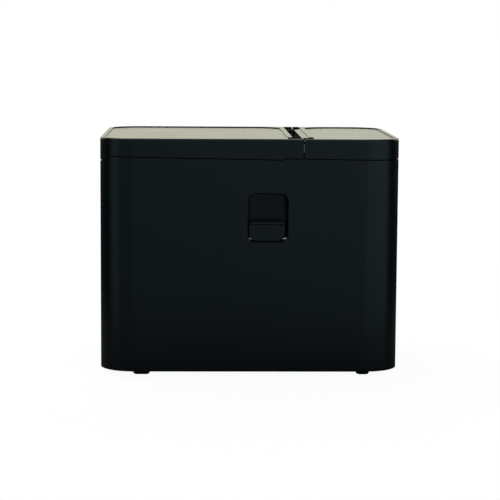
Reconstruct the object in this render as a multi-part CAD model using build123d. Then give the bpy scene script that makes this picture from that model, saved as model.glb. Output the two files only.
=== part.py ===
from build123d import *
from math import acos, cos, hypot, pi, radians, sin, tan
import os

# Thermal receipt printer for 80 mm rolls, in millimetres.
# +X is the front, -Y is the side with the pull lever, +Z is up.
# The origin is on the surface the printer stands on, under its middle.

# Driving dimensions: casing
depth = 180.0
width = 140.0
height = 143.7
corner_radius = 21.0
wall = 2.2
foot_height = 4.0
base_thick = 2.5
base_gap = 0.3
seam_gap = 0.55
top_edge_radius = 1.2

# Driving dimensions: the seam between covers and case, as depths below the top
seam_rear_wall_drop = 13.5
seam_rear_gap = 1.0
seam_corner_drop = 12.4
seam_corner_start = 2.8
seam_corner_run = 5.0
seam_side_rear_drop = 10.6
seam_side_step_drop = 12.2
seam_front_start_drop = 11.35
seam_front_end_drop = 12.3
seam_step_start = 18.8
seam_step_run = 2.8
seam_tab_margin = 12.6
seam_tab_gap = 0.6

# Driving dimensions: covers
split_x = 31.65
split_gap = 0.6
rim_width = 3.0
field_drop = 0.7
panel_thick = 2.2
slot_rear_x = 25.6
slot_front_x = 35.7
slot_end_margin = 20.0
slot_flange_depth = 4.0
ledge_drop = 0.5
ledge_toe_drop = 1.1
ramp_toe_x = 30.1
ramp_toe_drop = 7.7
ramp_thick = 1.6
guide_inset = 3.0
guide_low_drop = 16.7
guide_rib_thick = 1.6
scoop_depth = 1.6
scoop_near_rim = 1.6
scoop_far_rim = 3.1
scoop_rear_reach = 3.2
scoop_front_reach = 2.3

# Driving dimensions: inner liner of the rear cover
liner_drop = 9.0
liner_thick = 2.0
liner_rear_inset = 20.0
liner_rib_inset = 40.0
liner_rib_step = 25.0
liner_rib_depth = 4.0
liner_wall_thick = 2.0
liner_front_thick = 1.8
liner_screw_rear_inset = 28.0
liner_screw_front_x = 2.0
liner_screw_y = 36.0
ledge_thick = 3.0
ledge_front_gap = 1.5
ledge_rear_reach = 1.0

# Driving dimensions: cover hinges
hinge_inset = 2.8
hinge_drop = 6.2
hinge_ear_radius = 2.2
hinge_pin_radius = 1.0
hinge_ear_margin = 11.0
hinge_ear_width = 8.0
hinge_stem_length = 16.0
hinge_collar_length = 9.6
hinge_lug_width = 2.5
hinge_side_gap = 0.3
hinge_round_gap = 0.35
pin_fit = 0.03

# Driving dimensions: side recess and release lever
recess_rear_x = -1.6
recess_length = 24.4
recess_low_drop = 61.6
recess_height = 29.5
recess_radius = 4.8
recess_depth = 9.8
recess_draft = 0.13
cup_wall = 1.6
lever_gap = 0.3
lever_rear_gap = 1.15
lever_front_gap = 2.2
lever_pivot_inset = 3.5
lever_pivot_rise = 1.9
lever_barrel_radius = 2.4
lever_barrel_inset = 3.0
lever_pin_radius = 1.0
lever_plate_thick = 2.0
lever_plate_rise = 1.0
lever_corner_radius = 4.2
lever_lip_rise = 10.5
lever_lip_height = 1.65
lever_lip_inset = 0.55
lever_lip_out = 1.0
lever_lip_radius = 0.6
lever_lip_step = 0.4
lever_tail_inset = 2.2
lever_tail_width = 4.0
lever_tail_thick = 2.2
lever_tail_drop = 0.7
lever_tail_nose = 2.0
lever_tail_gap = 0.8
lever_nose_reach = 0.4
lever_slot_below = 1.6
lever_slot_above = 8.4

# Driving dimensions: paper roll bay and the deck under the mechanism
bay_radius = 43.5
bay_lift = 10.0
bay_front_gap = 0.5
bay_side_inset = 6.0
bay_wall = 2.0
bay_rim_drop = 19.7
bay_lip_rise = 12.0
bay_slope_run = 6.0
bay_flange_margin = 4.0
bay_flange_setback = 8.0
deck_drop = 59.7
deck_thick = 2.0
deck_end_x = 66.5
deck_side_gap = 0.6
deck_screw_x = 40.0
deck_screw_inset = 11.0
leg_length = 10.0
leg_foot = 8.0
leg_rear_reach = 26.0
sensor_length = 12.0
sensor_out = 7.0
sensor_reach = 18.0
sensor_lift = 27.5
paper_sensor_gap = 2.0
paper_sensor_length = 5.0
paper_sensor_width = 12.0
paper_sensor_height = 6.0

# Driving dimensions: print mechanism
frame_half = 47.0
frame_thick = 1.5
frame_rear_x = 8.0
frame_front_x = 46.0
frame_height = 34.2
frame_foot = 12.0
cross_wall_inset = 0.5
motor_plate_drop = 28.0
motor_plate_front_x = 53.0
motor_plate_lap = 2.0
platen_x = 17.5
platen_rise = 28.0
platen_radius = 8.0
platen_side_gap = 1.7
shaft_radius = 3.0
shaft_end = 1.0
bush_radius = 4.5
bush_out = 0.3
bush_notch_gap = 0.15
notch_length = 12.0
notch_flare = 0.8
arm_side_gap = 0.8
arm_thick = 2.5
arm_margin = 2.5
arm_rear_reach = 6.0
arm_front_gap = 0.5
contact_angle = -16.0
paper_gap = 0.1
head_thick = 1.0
head_side_gap = 1.2
head_below = 8.0
head_above = 4.5
sink_thick = 4.0
sink_below = 20.0
head_pin_radius = 1.5
head_pin_below = 18.0
head_boss_radius = 3.2
spring_radius = 3.5
spring_wire = 0.8
spring_y = 22.0
spring_rise = 19.0
spring_seat_rim = 1.0
spring_plug_gap = 0.3
spring_plug_length = 2.0

# Driving dimensions: teeth of all gears, in modules apart from the backlash
pressure_angle = 20.0
tooth_tip = 0.8
tooth_root = 1.05
tooth_backlash = 0.1
flank_points = 5

# Driving dimensions: paper feed gears
feed_module = 0.6
platen_teeth = 30
idler_teeth = 36
reduction_small_teeth = 15
reduction_large_teeth = 48
motor_teeth = 12
idler_bearing_angle = -96.0
reduction_bearing_angle = -75.0
motor_bearing_angle = -50.0
gear_side_gap = 3.0
gear_face = 3.5
gear_layer_gap = 1.8
large_gear_face = 3.0
post_radius = 1.5
post_collar = 1.2
post_collar_gap = 0.2
post_groove = 0.4
post_end = 0.4
clip_gap = 0.1
clip_thick = 0.6
clip_rim = 1.4
feed_motor_radius = 17.5
feed_motor_length = 21.0
feed_motor_ear = 21.0
feed_motor_ear_width = 7.0
feed_motor_flange = 1.0
feed_motor_boss = 6.0
motor_shaft_radius = 1.0
motor_shaft_gap = 0.3

# Driving dimensions: lock bracket
lock_x = 30.0
lock_rise = 6.0
lock_thick = 1.5
lock_gap = 0.6
lock_pin_radius = 2.0
lock_bar_x = 47.0
lock_bar_rise = 12.0
lock_bar_height = 7.5
lock_half = 4.0
lock_front = 5.0
lock_neck_rise = 8.0
lock_neck_back = 6.0
hook_back_reach = 11.5
hook_back_rise = 4.0
hook_top_reach = 2.0
hook_top_rise = 5.0
hook_tip_reach = 1.0
hook_mouth_reach = 5.0
hook_throat_reach = 7.0
hook_throat_drop = 6.0
lock_arm_lap = 2.0
lock_arm_toe = 1.5
lock_arm_height = 5.0
lock_hook_gap = 0.2
lock_spring_thick = 1.0
lock_spring_length = 3.0
lock_spring_gap = 0.3
lock_arm_gap = 0.3

# Driving dimensions: paper cutter
blade_thick = 1.0
fixed_blade_rise = 3.8
fixed_blade_edge_x = 27.5
fixed_blade_length = 14.5
blade_pass_gap = 0.15
blade_front_gap = 0.8
blade_screw_reach = 5.5
blade_screw_inset = 14.7
moving_blade_tip_x = 31.5
moving_blade_length = 11.5
blade_vee = 2.5
blade_side_gap = 1.2
cutter_stroke = 8.0
carriage_front_x = 38.0
carriage_rear_x = 64.0
carriage_thick = 1.65
carriage_side_gap = 2.5
runner_gap = 0.3
runner_start_gap = 0.5
cutter_plate_thick = 1.5
cutter_plate_front_x = 66.0
cutter_lip_gap = 0.4
cutter_lip_depth = 3.0
cutter_lip_pass = 0.25
rail_gap = 0.4
rail_front_gap = 0.8
rail_lap = 2.0
rail_thick = 1.2
cutter_shaft_x = 52.0
cutter_shaft_radius = 2.0
cheek_half = 4.0
cheek_neck_drop = 3.0
cheek_knee_reach = 1.0
cheek_knee_drop = 8.0
cheek_toe_reach = 3.0
cutter_window_gap = 0.6
cutter_window_side_gap = 0.8
rack_module = 0.8
rack_pinion_teeth = 14
rack_pitch_rise = 4.2
rack_width = 4.0
rack_inner_half = 12.0
rack_backlash = 0.06
runner_y = 34.0
runner_width = 3.0
cutter_gear_module = 0.5
cutter_gear_teeth = 36
cutter_pinion_teeth = 12
cutter_gear_gap = 7.0
cutter_gear_face = 2.5
cutter_motor_angle = -45.0
cutter_motor_radius = 7.75
cutter_motor_length = 25.0
cutter_motor_boss = 2.5
cutter_motor_flat = 6.045

# Driving dimensions: electronics
board_lift = 2.5
board_thick = 1.6
board_half = 38.0
board_rear_inset = 5.0
board_length = 140.0
board_post_radius = 2.5
board_post_inset = 5.0
board_post_rear = 28.0
board_post_front = 8.0
io_margin = 25.0
io_lift = 1.5
io_height = 19.0
io_radius = 2.0
io_thick = 1.0
io_lap = 2.0

# Driving dimensions: sockets along the rear edge
socket_gap = 0.25
socket_inset = 0.8
socket_on_board = 14.0
socket_mouth_depth = 11.0
socket_tongue_thick = 1.6
socket_tongue_inset = 2.0
power_socket_y = -28.0
power_socket_width = 13.0
power_socket_height = 12.5
power_mouth_radius = 4.6
power_pin_radius = 0.5
power_pin_circle = 2.2
power_pin_inset = 3.0
drawer_socket_y = -8.0
drawer_socket_width = 13.6
drawer_socket_height = 13.0
drawer_mouth_width = 9.8
drawer_mouth_height = 7.4
usb_socket_y = 11.0
usb_socket_width = 12.0
usb_socket_height = 11.0
usb_mouth_width = 8.6
usb_mouth_height = 7.9
lan_socket_y = 30.0
lan_socket_width = 16.0
lan_socket_height = 13.5
lan_mouth_width = 11.8
lan_mouth_height = 8.2

# Driving dimensions: control panel on the front face
panel_half = 30.0
panel_low_drop = 46.7
panel_height = 22.0
panel_radius = 4.0
panel_lip = 2.5
panel_lip_thick = 1.5
panel_gap = 0.2
panel_sunk = 0.4
panel_post_radius = 2.0
panel_post_inset = 3.0
button_radius = 5.2
button_gap = 0.25
button_travel = 1.2
button_proud = 0.4
button_edge = 0.5
button_stem_radius = 1.5
button_stem_gap = 0.1
collar_rim = 1.2
collar_thick = 1.0
collar_gap = 0.05
feed_button_y = -14.0
power_button_y = 14.0
key_board_inset = 12.0
key_board_height = 18.0
switch_height = 3.5
switch_width = 6.0
light_radius = 1.3
light_pitch = 4.0
light_rise = 5.0

# Driving dimensions: feet and fasteners
rear_foot_inset = 24.8
rear_foot_length = 10.0
front_foot_inset = 20.6
front_foot_length = 7.8
foot_width = 14.0
foot_margin = 19.0
foot_radius = 3.0
foot_edge = 0.5
screw_radius = 1.5
screw_head_radius = 2.8
screw_head_thick = 1.6
thin_head_thick = 0.9
boss_radius = 4.0
boss_height = 24.0
thread_gap = 0.05
base_screw_margin = 10.0
base_screw_inset = 40.0
base_screw_grip = 8.0
liner_screw_grip = 3.0
blade_screw_grip = 2.5
motor_screw_grip = 3.0

os.makedirs("parts", exist_ok=True)


def save(name, *solids):
    """Write one node; several solids stay separate in it."""
    shapes = []
    for solid in solids:
        shapes += list(solid.solids())
    node = shapes[0] if len(shapes) == 1 else Compound(children=shapes)
    export_step(node, "parts/" + name + ".step")


def block(x0, x1, y0, y1, z0, z1):
    """Box between two corners."""
    return Pos((x0 + x1) / 2, (y0 + y1) / 2, (z0 + z1) / 2) * Box(x1 - x0, y1 - y0, z1 - z0)


def rod_x(y, z, radius, x0, x1):
    return Pos((x0 + x1) / 2, y, z) * Rot(0, 90, 0) * Cylinder(radius, x1 - x0)


def rod_y(x, z, radius, y0, y1):
    return Pos(x, (y0 + y1) / 2, z) * Rot(90, 0, 0) * Cylinder(radius, y1 - y0)


def rod_z(x, y, radius, z0, z1):
    return Pos(x, y, (z0 + z1) / 2) * Cylinder(radius, z1 - z0)


def side_plane(y):
    """Plane whose local axes are world X and Z, facing -Y."""
    return Plane(origin=(0, y, 0), x_dir=(1, 0, 0), z_dir=(0, -1, 0))


def side_plate(y0, y1, *points):
    """Outline in X and Z, filled from y0 to y1."""
    return side_sketch(y0, y1, Polygon(*points, align=None))


def side_sketch(y0, y1, sketch):
    """Sketch in X and Z, filled from y0 to y1."""
    return extrude(side_plane(y1) * sketch, y1 - y0, dir=(0, -1, 0))


def mirrored(solid):
    """The same piece on the other side of the printer."""
    return mirror(solid, Plane.XZ)


def rounded_tower(inset, z0, z1):
    """Upright rounded block, a given distance inside the casing's outline."""
    outline = RectangleRounded(depth - 2 * inset, width - 2 * inset, corner_radius - inset)
    return Pos(0, 0, z0) * extrude(outline, z1 - z0)


def gear_outline(module, teeth, phase):
    """Involute gear with one tooth centred on the angle called phase, in degrees."""
    pressure = radians(pressure_angle)
    pitch = module * teeth / 2
    base = pitch * cos(pressure)
    tip = pitch + tooth_tip * module
    root = pitch - tooth_root * module
    half_at_pitch = (pi * module / 2 - tooth_backlash) / 2 / pitch
    involute_at_pitch = tan(pressure) - pressure
    lowest = max(base, root)
    flank = []
    for step in range(flank_points):
        radius = lowest + (tip - lowest) * step / (flank_points - 1)
        roll = acos(base / radius)
        flank.append((radius, half_at_pitch + involute_at_pitch - (tan(roll) - roll)))
    if root < base:
        flank.insert(0, (root, flank[0][1]))
    points = []
    for tooth in range(teeth):
        middle = radians(phase) + 2 * pi * tooth / teeth
        for radius, half in flank:
            points.append((radius * cos(middle - half), radius * sin(middle - half)))
        for radius, half in reversed(flank):
            points.append((radius * cos(middle + half), radius * sin(middle + half)))
    return Polygon(*points, align=None)


def gear(module, teeth, phase, x, z, y0, y1, bore):
    """Spur gear on a Y axis."""
    outline = Pos(x, z) * (gear_outline(module, teeth, phase) - Circle(bore))
    return side_sketch(y0, y1, outline)


def mesh_phase(angle, driver_teeth, driver_phase, teeth):
    """Phase of a gear that lies in the direction angle from its driver and meshes with it."""
    return angle + 180 + 180 / teeth + (angle - driver_phase) * driver_teeth / teeth


def centre_from(x, z, angle, distance):
    return x + distance * cos(radians(angle)), z + distance * sin(radians(angle))


# Overall box and inner faces
rear_x = -depth / 2
front_x = depth / 2
near_y = -width / 2
far_y = width / 2
case_low_z = foot_height
base_top_z = foot_height + base_thick
panel_under_z = height - field_drop - panel_thick
slot_half = width / 2 - slot_end_margin

# Seam and cover heights, from the top down
seam_rear_wall = height - seam_rear_wall_drop
seam_side_rear = height - seam_side_rear_drop
seam_side_step = height - seam_side_step_drop
seam_front_start = height - seam_front_start_drop
seam_front_end = height - seam_front_end_drop
seam_corner = height - seam_corner_drop
seam_tab_half = width / 2 - seam_tab_margin
ramp_toe_z = height - ramp_toe_drop
guide_low_z = height - guide_low_drop
hinge_z = height - hinge_drop
rear_pin_x = rear_x + hinge_inset
front_pin_x = front_x - hinge_inset
hinge_ear_inner = width / 2 - corner_radius - hinge_ear_margin
hinge_ear_outer = hinge_ear_inner + hinge_ear_width
recess_low_z = height - recess_low_drop
lever_lip_low_z = recess_low_z + lever_lip_rise
panel_low_z = height - panel_low_drop

# Mechanism heights, measured from its deck, and half widths, measured from its side plates
deck_z = height - deck_drop
frame_top_z = deck_z + frame_height
motor_plate_low_z = deck_z - motor_plate_drop
platen_z = deck_z + platen_rise
spring_z = deck_z + spring_rise
lock_z = deck_z + lock_rise
lock_bar_low_z = deck_z + lock_bar_rise
fixed_blade_low_z = frame_top_z + fixed_blade_rise
rack_pitch_z = frame_top_z + rack_pitch_rise
frame_inner_half = frame_half - frame_thick
arm_half = frame_inner_half - arm_side_gap
arm_inner_half = arm_half - arm_thick
platen_half = arm_inner_half - platen_side_gap
head_half = arm_inner_half - head_side_gap
blade_half = arm_inner_half - blade_side_gap
carriage_half = frame_inner_half - carriage_side_gap
deck_half = frame_inner_half - deck_side_gap
guide_half = frame_half - guide_inset
gear_layer_y = frame_half + gear_side_gap
cutter_gear_y = -(frame_half + cutter_gear_gap)

# Roll bay, seated on the base plate and close behind the mechanism
bay_x = frame_rear_x - bay_front_gap - bay_wall - bay_radius
bay_z = base_top_z + bay_lift + bay_wall + bay_radius
bay_half = frame_half - bay_side_inset
bay_rim_z = height - bay_rim_drop
bay_lip_z = deck_z + bay_lip_rise
bay_flange_reach = width / 2 - bay_flange_margin

# Boards, sockets, feet and screws, from the base plate and the end walls
board_low_z = base_top_z + board_lift
board_rear_x = rear_x + board_rear_inset
board_front_x = board_rear_x + board_length
io_half = width / 2 - io_margin
io_low_z = base_top_z + io_lift
socket_rear_x = rear_x + socket_inset
key_board_x = front_x - key_board_inset
rear_foot_x = rear_x + rear_foot_inset
front_foot_x = front_x - front_foot_inset
foot_y = width / 2 - foot_margin
base_screw_y = width / 2 - base_screw_margin
base_screw_rear_x = rear_x + base_screw_inset
base_screw_front_x = front_x - base_screw_inset

# Space above the seam, cut out of the case and kept in the covers. At the rear corners the
# seam drops, so that the cover can swing about its pins.
seam_step_end = seam_step_start + seam_step_run
seam_corner_x0 = rear_x + seam_corner_start
seam_corner_x1 = seam_corner_x0 + seam_corner_run


def above_seam(drop, rear_drop, tab_half):
    """Everything above the seam line, lowered by drop, or by rear_drop in the rear wall."""
    reach = width
    side = side_plate(
        -reach, reach,
        (rear_x - wall, seam_corner - drop), (seam_corner_x0, seam_corner - drop),
        (seam_corner_x1, seam_side_rear - drop), (seam_step_start, seam_side_step - drop),
        (seam_step_end, seam_front_start - drop), (front_x + wall, seam_front_end - drop),
        (front_x + wall, height + wall), (rear_x - wall, height + wall))
    rear_tab = block(rear_x - wall, rear_x + corner_radius, -tab_half, tab_half,
                     seam_rear_wall - rear_drop, seam_side_rear)
    return side + rear_tab


def hinge_ear(pin_x, outward, y0, y1):
    """Case ear round a hinge pin; outward is -1 at the rear and 1 at the front."""
    wall_x = pin_x + outward * (hinge_inset - wall)
    back_x = pin_x - outward * hinge_ear_radius
    stem = block(min(wall_x, back_x), max(wall_x, back_x), y0, y1, hinge_z - hinge_stem_length,
                 hinge_z)
    tip_x = pin_x + outward * hinge_ear_radius
    collar = block(min(tip_x, back_x), max(tip_x, back_x), y0, y1,
                   hinge_z - hinge_collar_length, hinge_z)
    eye = rod_y(pin_x, hinge_z, hinge_ear_radius, y0, y1)
    return stem + collar + eye - rod_y(pin_x, hinge_z, hinge_pin_radius + pin_fit, y0, y1)


def both_sides(solid):
    return solid + mirrored(solid)


# main_case
case = rounded_tower(0, case_low_z, height) - rounded_tower(wall, case_low_z, height)
case -= above_seam(seam_gap, seam_rear_gap, seam_tab_half + seam_tab_gap)
case += both_sides(hinge_ear(rear_pin_x, -1, hinge_ear_inner, hinge_ear_outer))
case += both_sides(hinge_ear(front_pin_x, 1, hinge_ear_inner, hinge_ear_outer))
base_screw_places = [(x, side * base_screw_y)
                     for x in (base_screw_rear_x, base_screw_front_x) for side in (-1, 1)]
for x, y in base_screw_places:
    rib_y = width / 2 - wall
    boss = rod_z(x, y, boss_radius, base_top_z, base_top_z + boss_height)
    boss += block(x - boss_radius / 2, x + boss_radius / 2, min(y, y / abs(y) * rib_y),
                  max(y, y / abs(y) * rib_y), base_top_z, base_top_z + boss_height)
    case += boss - rod_z(x, y, screw_radius, base_top_z, base_top_z + boss_height - wall)
recess_front_x = recess_rear_x + recess_length
recess_high_z = recess_low_z + recess_height
recess_middle = Pos((recess_rear_x + recess_front_x) / 2, (recess_low_z + recess_high_z) / 2)
well_back_y = near_y + wall + recess_depth


def recess_outline(y):
    """Rounded outline of the finger well, which narrows from the casing's side inwards."""
    inset = recess_draft * (y - near_y)
    outline = RectangleRounded(recess_length - 2 * inset, recess_height - 2 * inset,
                               recess_radius - inset)
    return side_plane(y) * (recess_middle * outline)


lever_pivot_y = near_y + lever_pivot_inset
lever_pivot_z = recess_low_z + lever_pivot_rise
lever_face_y = lever_pivot_y - lever_barrel_radius
lever_plate_low_z = recess_low_z + lever_plate_rise
lever_corner_reach = hypot(lever_pivot_y - lever_face_y, lever_pivot_z - lever_plate_low_z)
lever_x0 = recess_rear_x + lever_rear_gap
lever_x1 = recess_front_x - lever_front_gap
recess = loft([recess_outline(near_y - wall), recess_outline(well_back_y)], ruled=True)
recess += rod_x(lever_pivot_y, lever_pivot_z, lever_corner_reach + lever_gap,
                lever_x0 - lever_gap, lever_x1 + lever_gap)
case -= recess
io_window = Plane.YZ * Pos(0, io_low_z + io_height / 2) * (
    RectangleRounded(2 * io_half, io_height, io_radius))
case -= Pos(rear_x - wall, 0, 0) * extrude(io_window, 3 * wall)
panel_mid_z = panel_low_z + panel_height / 2
panel_window = Plane.YZ * Pos(0, panel_mid_z) * RectangleRounded(2 * panel_half, panel_height,
                                                                 panel_radius)
case -= Pos(front_x - 2 * wall, 0, 0) * extrude(panel_window, 3 * wall)
save("main_case", case)

# base_plate with stand-offs for the main board
plate_inset = wall + base_gap
base_plate = rounded_tower(plate_inset, case_low_z, base_top_z)
board_post_places = [(x, y) for x in (board_rear_x + board_post_rear, board_front_x - board_post_front)
                     for y in (board_post_inset - board_half, board_half - board_post_inset)]
for x, y in board_post_places:
    base_plate += rod_z(x, y, board_post_radius, base_top_z, board_low_z)
    base_plate -= rod_z(x, y, screw_radius, base_top_z, board_low_z)
for x, y in base_screw_places:
    base_plate -= rod_z(x, y, screw_head_radius + thread_gap, case_low_z,
                        case_low_z + screw_head_thick)
    base_plate -= rod_z(x, y, screw_radius + thread_gap, case_low_z, base_top_z)
save("base_plate", base_plate)

# base_screws
base_screws = []
for x, y in base_screw_places:
    screw = rod_z(x, y, screw_head_radius, case_low_z, case_low_z + screw_head_thick)
    screw += rod_z(x, y, screw_radius - thread_gap, case_low_z, base_top_z + base_screw_grip)
    base_screws.append(screw)
save("base_screws", *base_screws)

# rubber_feet
feet = []
for x, length in ((rear_foot_x, rear_foot_length), (front_foot_x, front_foot_length)):
    for side in (-1, 1):
        pad = extrude(RectangleRounded(length, foot_width, foot_radius), foot_height)
        pad = chamfer(pad.edges().group_by(Axis.Z)[0], foot_edge)
        feet.append(Pos(x, side * foot_y, 0) * pad)
save("rubber_feet", *feet)

# lever_housing: the finger well behind the side window
cup_outline = recess_middle * RectangleRounded(recess_length + 2 * cup_wall,
                                               recess_height + 2 * cup_wall,
                                               recess_radius + cup_wall)
housing = side_sketch(near_y + wall, well_back_y + cup_wall, cup_outline)
housing -= recess
tail_x0 = recess_rear_x + lever_tail_inset
tail_x1 = tail_x0 + lever_tail_width
housing -= block(tail_x0 - lever_gap, tail_x1 + lever_gap, lever_pivot_y,
                 well_back_y + 2 * cup_wall, lever_pivot_z - lever_slot_below,
                 lever_pivot_z + lever_slot_above)
housing -= rod_x(lever_pivot_y, lever_pivot_z, lever_pin_radius,
                 recess_rear_x - cup_wall, recess_front_x + cup_wall)
save("lever_housing", housing)

# lever_pin
save("lever_pin", rod_x(lever_pivot_y, lever_pivot_z, lever_pin_radius,
                        recess_rear_x - cup_wall, recess_front_x + cup_wall))

# release_lever: face plate with a lip along its top, and a tail that lifts the lock bracket
lip_top_z = lever_lip_low_z + lever_lip_height
lever_outline = Pos((lever_x0 + lever_x1) / 2, (lever_plate_low_z + recess_high_z) / 2) * (
    RectangleRounded(lever_x1 - lever_x0, recess_high_z - lever_plate_low_z, lever_corner_radius))
lever = side_sketch(lever_face_y, lever_face_y + lever_plate_thick, lever_outline)
lever &= block(lever_x0, lever_x1, near_y, lever_pivot_y, lever_plate_low_z,
               lip_top_z - lever_lip_step)
lever += rod_x(lever_pivot_y, lever_pivot_z, lever_barrel_radius, lever_x0 + lever_barrel_inset,
               lever_x1 - lever_barrel_inset)
lip = block(lever_x0 + lever_lip_inset, lever_x1 - lever_lip_inset,
            lever_face_y - lever_lip_out, lever_face_y + lever_plate_thick, lever_lip_low_z, lip_top_z)
lip = fillet(lip.edges().filter_by(Axis.X), lever_lip_radius)
lever += lip
lock_outer_y = frame_half + lock_gap + lock_thick
tail_end_y = -(frame_half + lock_gap) + lever_nose_reach
tail_low_z = lever_pivot_z - lever_tail_drop
tail_top_z = tail_low_z + lever_tail_thick
lever += block(tail_x0, tail_x1, lever_pivot_y, -lock_outer_y - lever_tail_gap, tail_low_z, tail_top_z)
lever += block(tail_x0, tail_x0 + lever_tail_nose, -lock_outer_y - 2 * lever_tail_gap, tail_end_y,
               tail_low_z, tail_top_z)
lever -= rod_x(lever_pivot_y, lever_pivot_z, lever_pin_radius + pin_fit, lever_x0, lever_x1)
save("release_lever", lever)

# Hinge pins
rear_pins = []
front_pins = []
lug_outer = hinge_ear_outer + hinge_side_gap + hinge_lug_width
lug_inner = hinge_ear_inner - hinge_side_gap - hinge_lug_width
for side in (-1, 1):
    low = min(side * lug_inner, side * lug_outer)
    rear_pins.append(rod_y(rear_pin_x, hinge_z, hinge_pin_radius, low, low + lug_outer - lug_inner))
    front_pins.append(rod_y(front_pin_x, hinge_z, hinge_pin_radius, low, low + lug_outer - lug_inner))
save("rear_hinge_pins", *rear_pins)
save("front_hinge_pins", *front_pins)


def cover_shell(x0, x1, field_x0, field_x1, field_radius):
    """Cover with a rim round a sunk top field, between two cross planes."""
    shell = rounded_tower(0, seam_rear_wall - wall, height)
    top_edges = shell.edges().group_by(Axis.Z)[-1]
    shell = fillet(top_edges, top_edge_radius)
    shell -= rounded_tower(wall, seam_rear_wall - wall, panel_under_z)
    shell &= above_seam(0, 0, seam_tab_half)
    shell &= block(x0, x1, near_y, far_y, 0, height)
    field = RectangleRounded(field_x1 - field_x0, width - 2 * rim_width, field_radius)
    shell -= Pos((field_x0 + field_x1) / 2, 0, height - field_drop) * extrude(field, field_drop + 1)
    return shell


def hinge_notch(pin_x, outward, side):
    """Room in a cover round one case ear."""
    clear = hinge_ear_radius + hinge_round_gap
    y0 = min(side * (hinge_ear_inner - hinge_side_gap), side * (hinge_ear_outer + hinge_side_gap))
    y1 = y0 + hinge_ear_width + 2 * hinge_side_gap
    outer_x = pin_x + outward * (hinge_inset + wall)
    inner_x = pin_x - outward * clear
    notch = block(min(outer_x, inner_x), max(outer_x, inner_x), y0, y1, seam_rear_wall - wall, hinge_z)
    notch += block(min(outer_x, pin_x), max(outer_x, pin_x), y0, y1, hinge_z,
                   hinge_z + clear + hinge_round_gap)
    return notch + rod_y(pin_x, hinge_z, clear, y0, y1)


def hinge_lugs(pin_x, outward, side):
    """Two lugs of a cover on a hinge pin, one each side of a case ear."""
    lugs = []
    for y0 in (lug_inner, hinge_ear_outer + hinge_side_gap):
        y_low = min(side * y0, side * (y0 + hinge_lug_width))
        wall_x = pin_x + outward * (hinge_inset - wall)
        back_x = pin_x - outward * hinge_ear_radius
        lug = block(min(wall_x, back_x), max(wall_x, back_x), y_low, y_low + hinge_lug_width,
                    hinge_z, panel_under_z)
        lug += block(min(pin_x, wall_x), max(pin_x, wall_x), y_low, y_low + hinge_lug_width,
                     hinge_z - hinge_ear_radius, hinge_z)
        lug += rod_y(pin_x, hinge_z, hinge_ear_radius, y_low, y_low + hinge_lug_width)
        lugs.append(lug)
    return lugs[0] + lugs[1]


# rear_cover
rear_edge_x = split_x - split_gap / 2
front_edge_x = split_x + split_gap / 2
rear_cover = cover_shell(rear_x, rear_edge_x, rear_x + rim_width, slot_rear_x - rim_width,
                         corner_radius - rim_width)
flange_low_z = ramp_toe_z - slot_flange_depth
rear_cover += block(slot_rear_x - wall, slot_rear_x, -slot_half, slot_half, flange_low_z,
                    height - field_drop)
rear_cover -= block(slot_rear_x, split_x, -slot_half, slot_half, 0, height)
scoops = block(slot_rear_x - scoop_rear_reach, slot_front_x + scoop_front_reach,
               near_y + scoop_near_rim, -slot_half, height - scoop_depth, height)
scoops += block(slot_rear_x, slot_front_x, slot_half, far_y - scoop_far_rim,
                height - scoop_depth, height)
rear_cover -= scoops
for side in (-1, 1):
    rear_cover += hinge_lugs(rear_pin_x, -1, side)
    rear_cover -= hinge_notch(rear_pin_x, -1, side)
liner_screw_places = [(x, side * liner_screw_y)
                      for x in (rear_x + liner_screw_rear_inset, liner_screw_front_x)
                      for side in (-1, 1)]
liner_low_z = height - liner_drop
liner_top_z = liner_low_z + liner_thick
for x, y in liner_screw_places:
    rear_cover += rod_z(x, y, boss_radius, liner_top_z, panel_under_z)
    rear_cover -= rod_z(x, y, screw_radius, liner_top_z, panel_under_z)
rear_cover -= rod_y(rear_pin_x, hinge_z, hinge_pin_radius, -lug_outer, lug_outer)
save("rear_cover", rear_cover)

# front_cover: sunk top field, low ledge along the slot, paper guide wall under it
front_cover = cover_shell(front_edge_x, front_x, slot_front_x + rim_width, front_x - rim_width,
                          corner_radius - rim_width)
front_cover -= side_plate(
    -slot_half, slot_half,
    (front_edge_x - wall, height - ledge_toe_drop), (front_edge_x, height - ledge_toe_drop),
    (slot_front_x, height - ledge_drop), (slot_front_x, height + wall),
    (front_edge_x - wall, height + wall))
front_cover += side_plate(
    -guide_half, guide_half,
    (front_edge_x, panel_under_z), (ramp_toe_x, ramp_toe_z), (ramp_toe_x, ramp_toe_z - ramp_thick),
    (front_edge_x + ramp_thick, panel_under_z))
front_cover += block(ramp_toe_x, ramp_toe_x + ramp_thick, -guide_half, guide_half, guide_low_z,
                     ramp_toe_z)
for y in (-guide_half, -guide_half / 2, 0, guide_half / 2, guide_half):
    rib = side_plate(y - guide_rib_thick / 2, y + guide_rib_thick / 2,
                     (ramp_toe_x + ramp_thick, guide_low_z), (slot_front_x + rim_width, panel_under_z),
                     (ramp_toe_x + ramp_thick, ramp_toe_z - ramp_thick / 2))
    front_cover += rib
front_cover -= scoops
for side in (-1, 1):
    front_cover += hinge_lugs(front_pin_x, 1, side)
    front_cover -= hinge_notch(front_pin_x, 1, side)
front_cover -= rod_y(front_pin_x, hinge_z, hinge_pin_radius, -lug_outer, lug_outer)
save("front_cover", front_cover)

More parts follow.
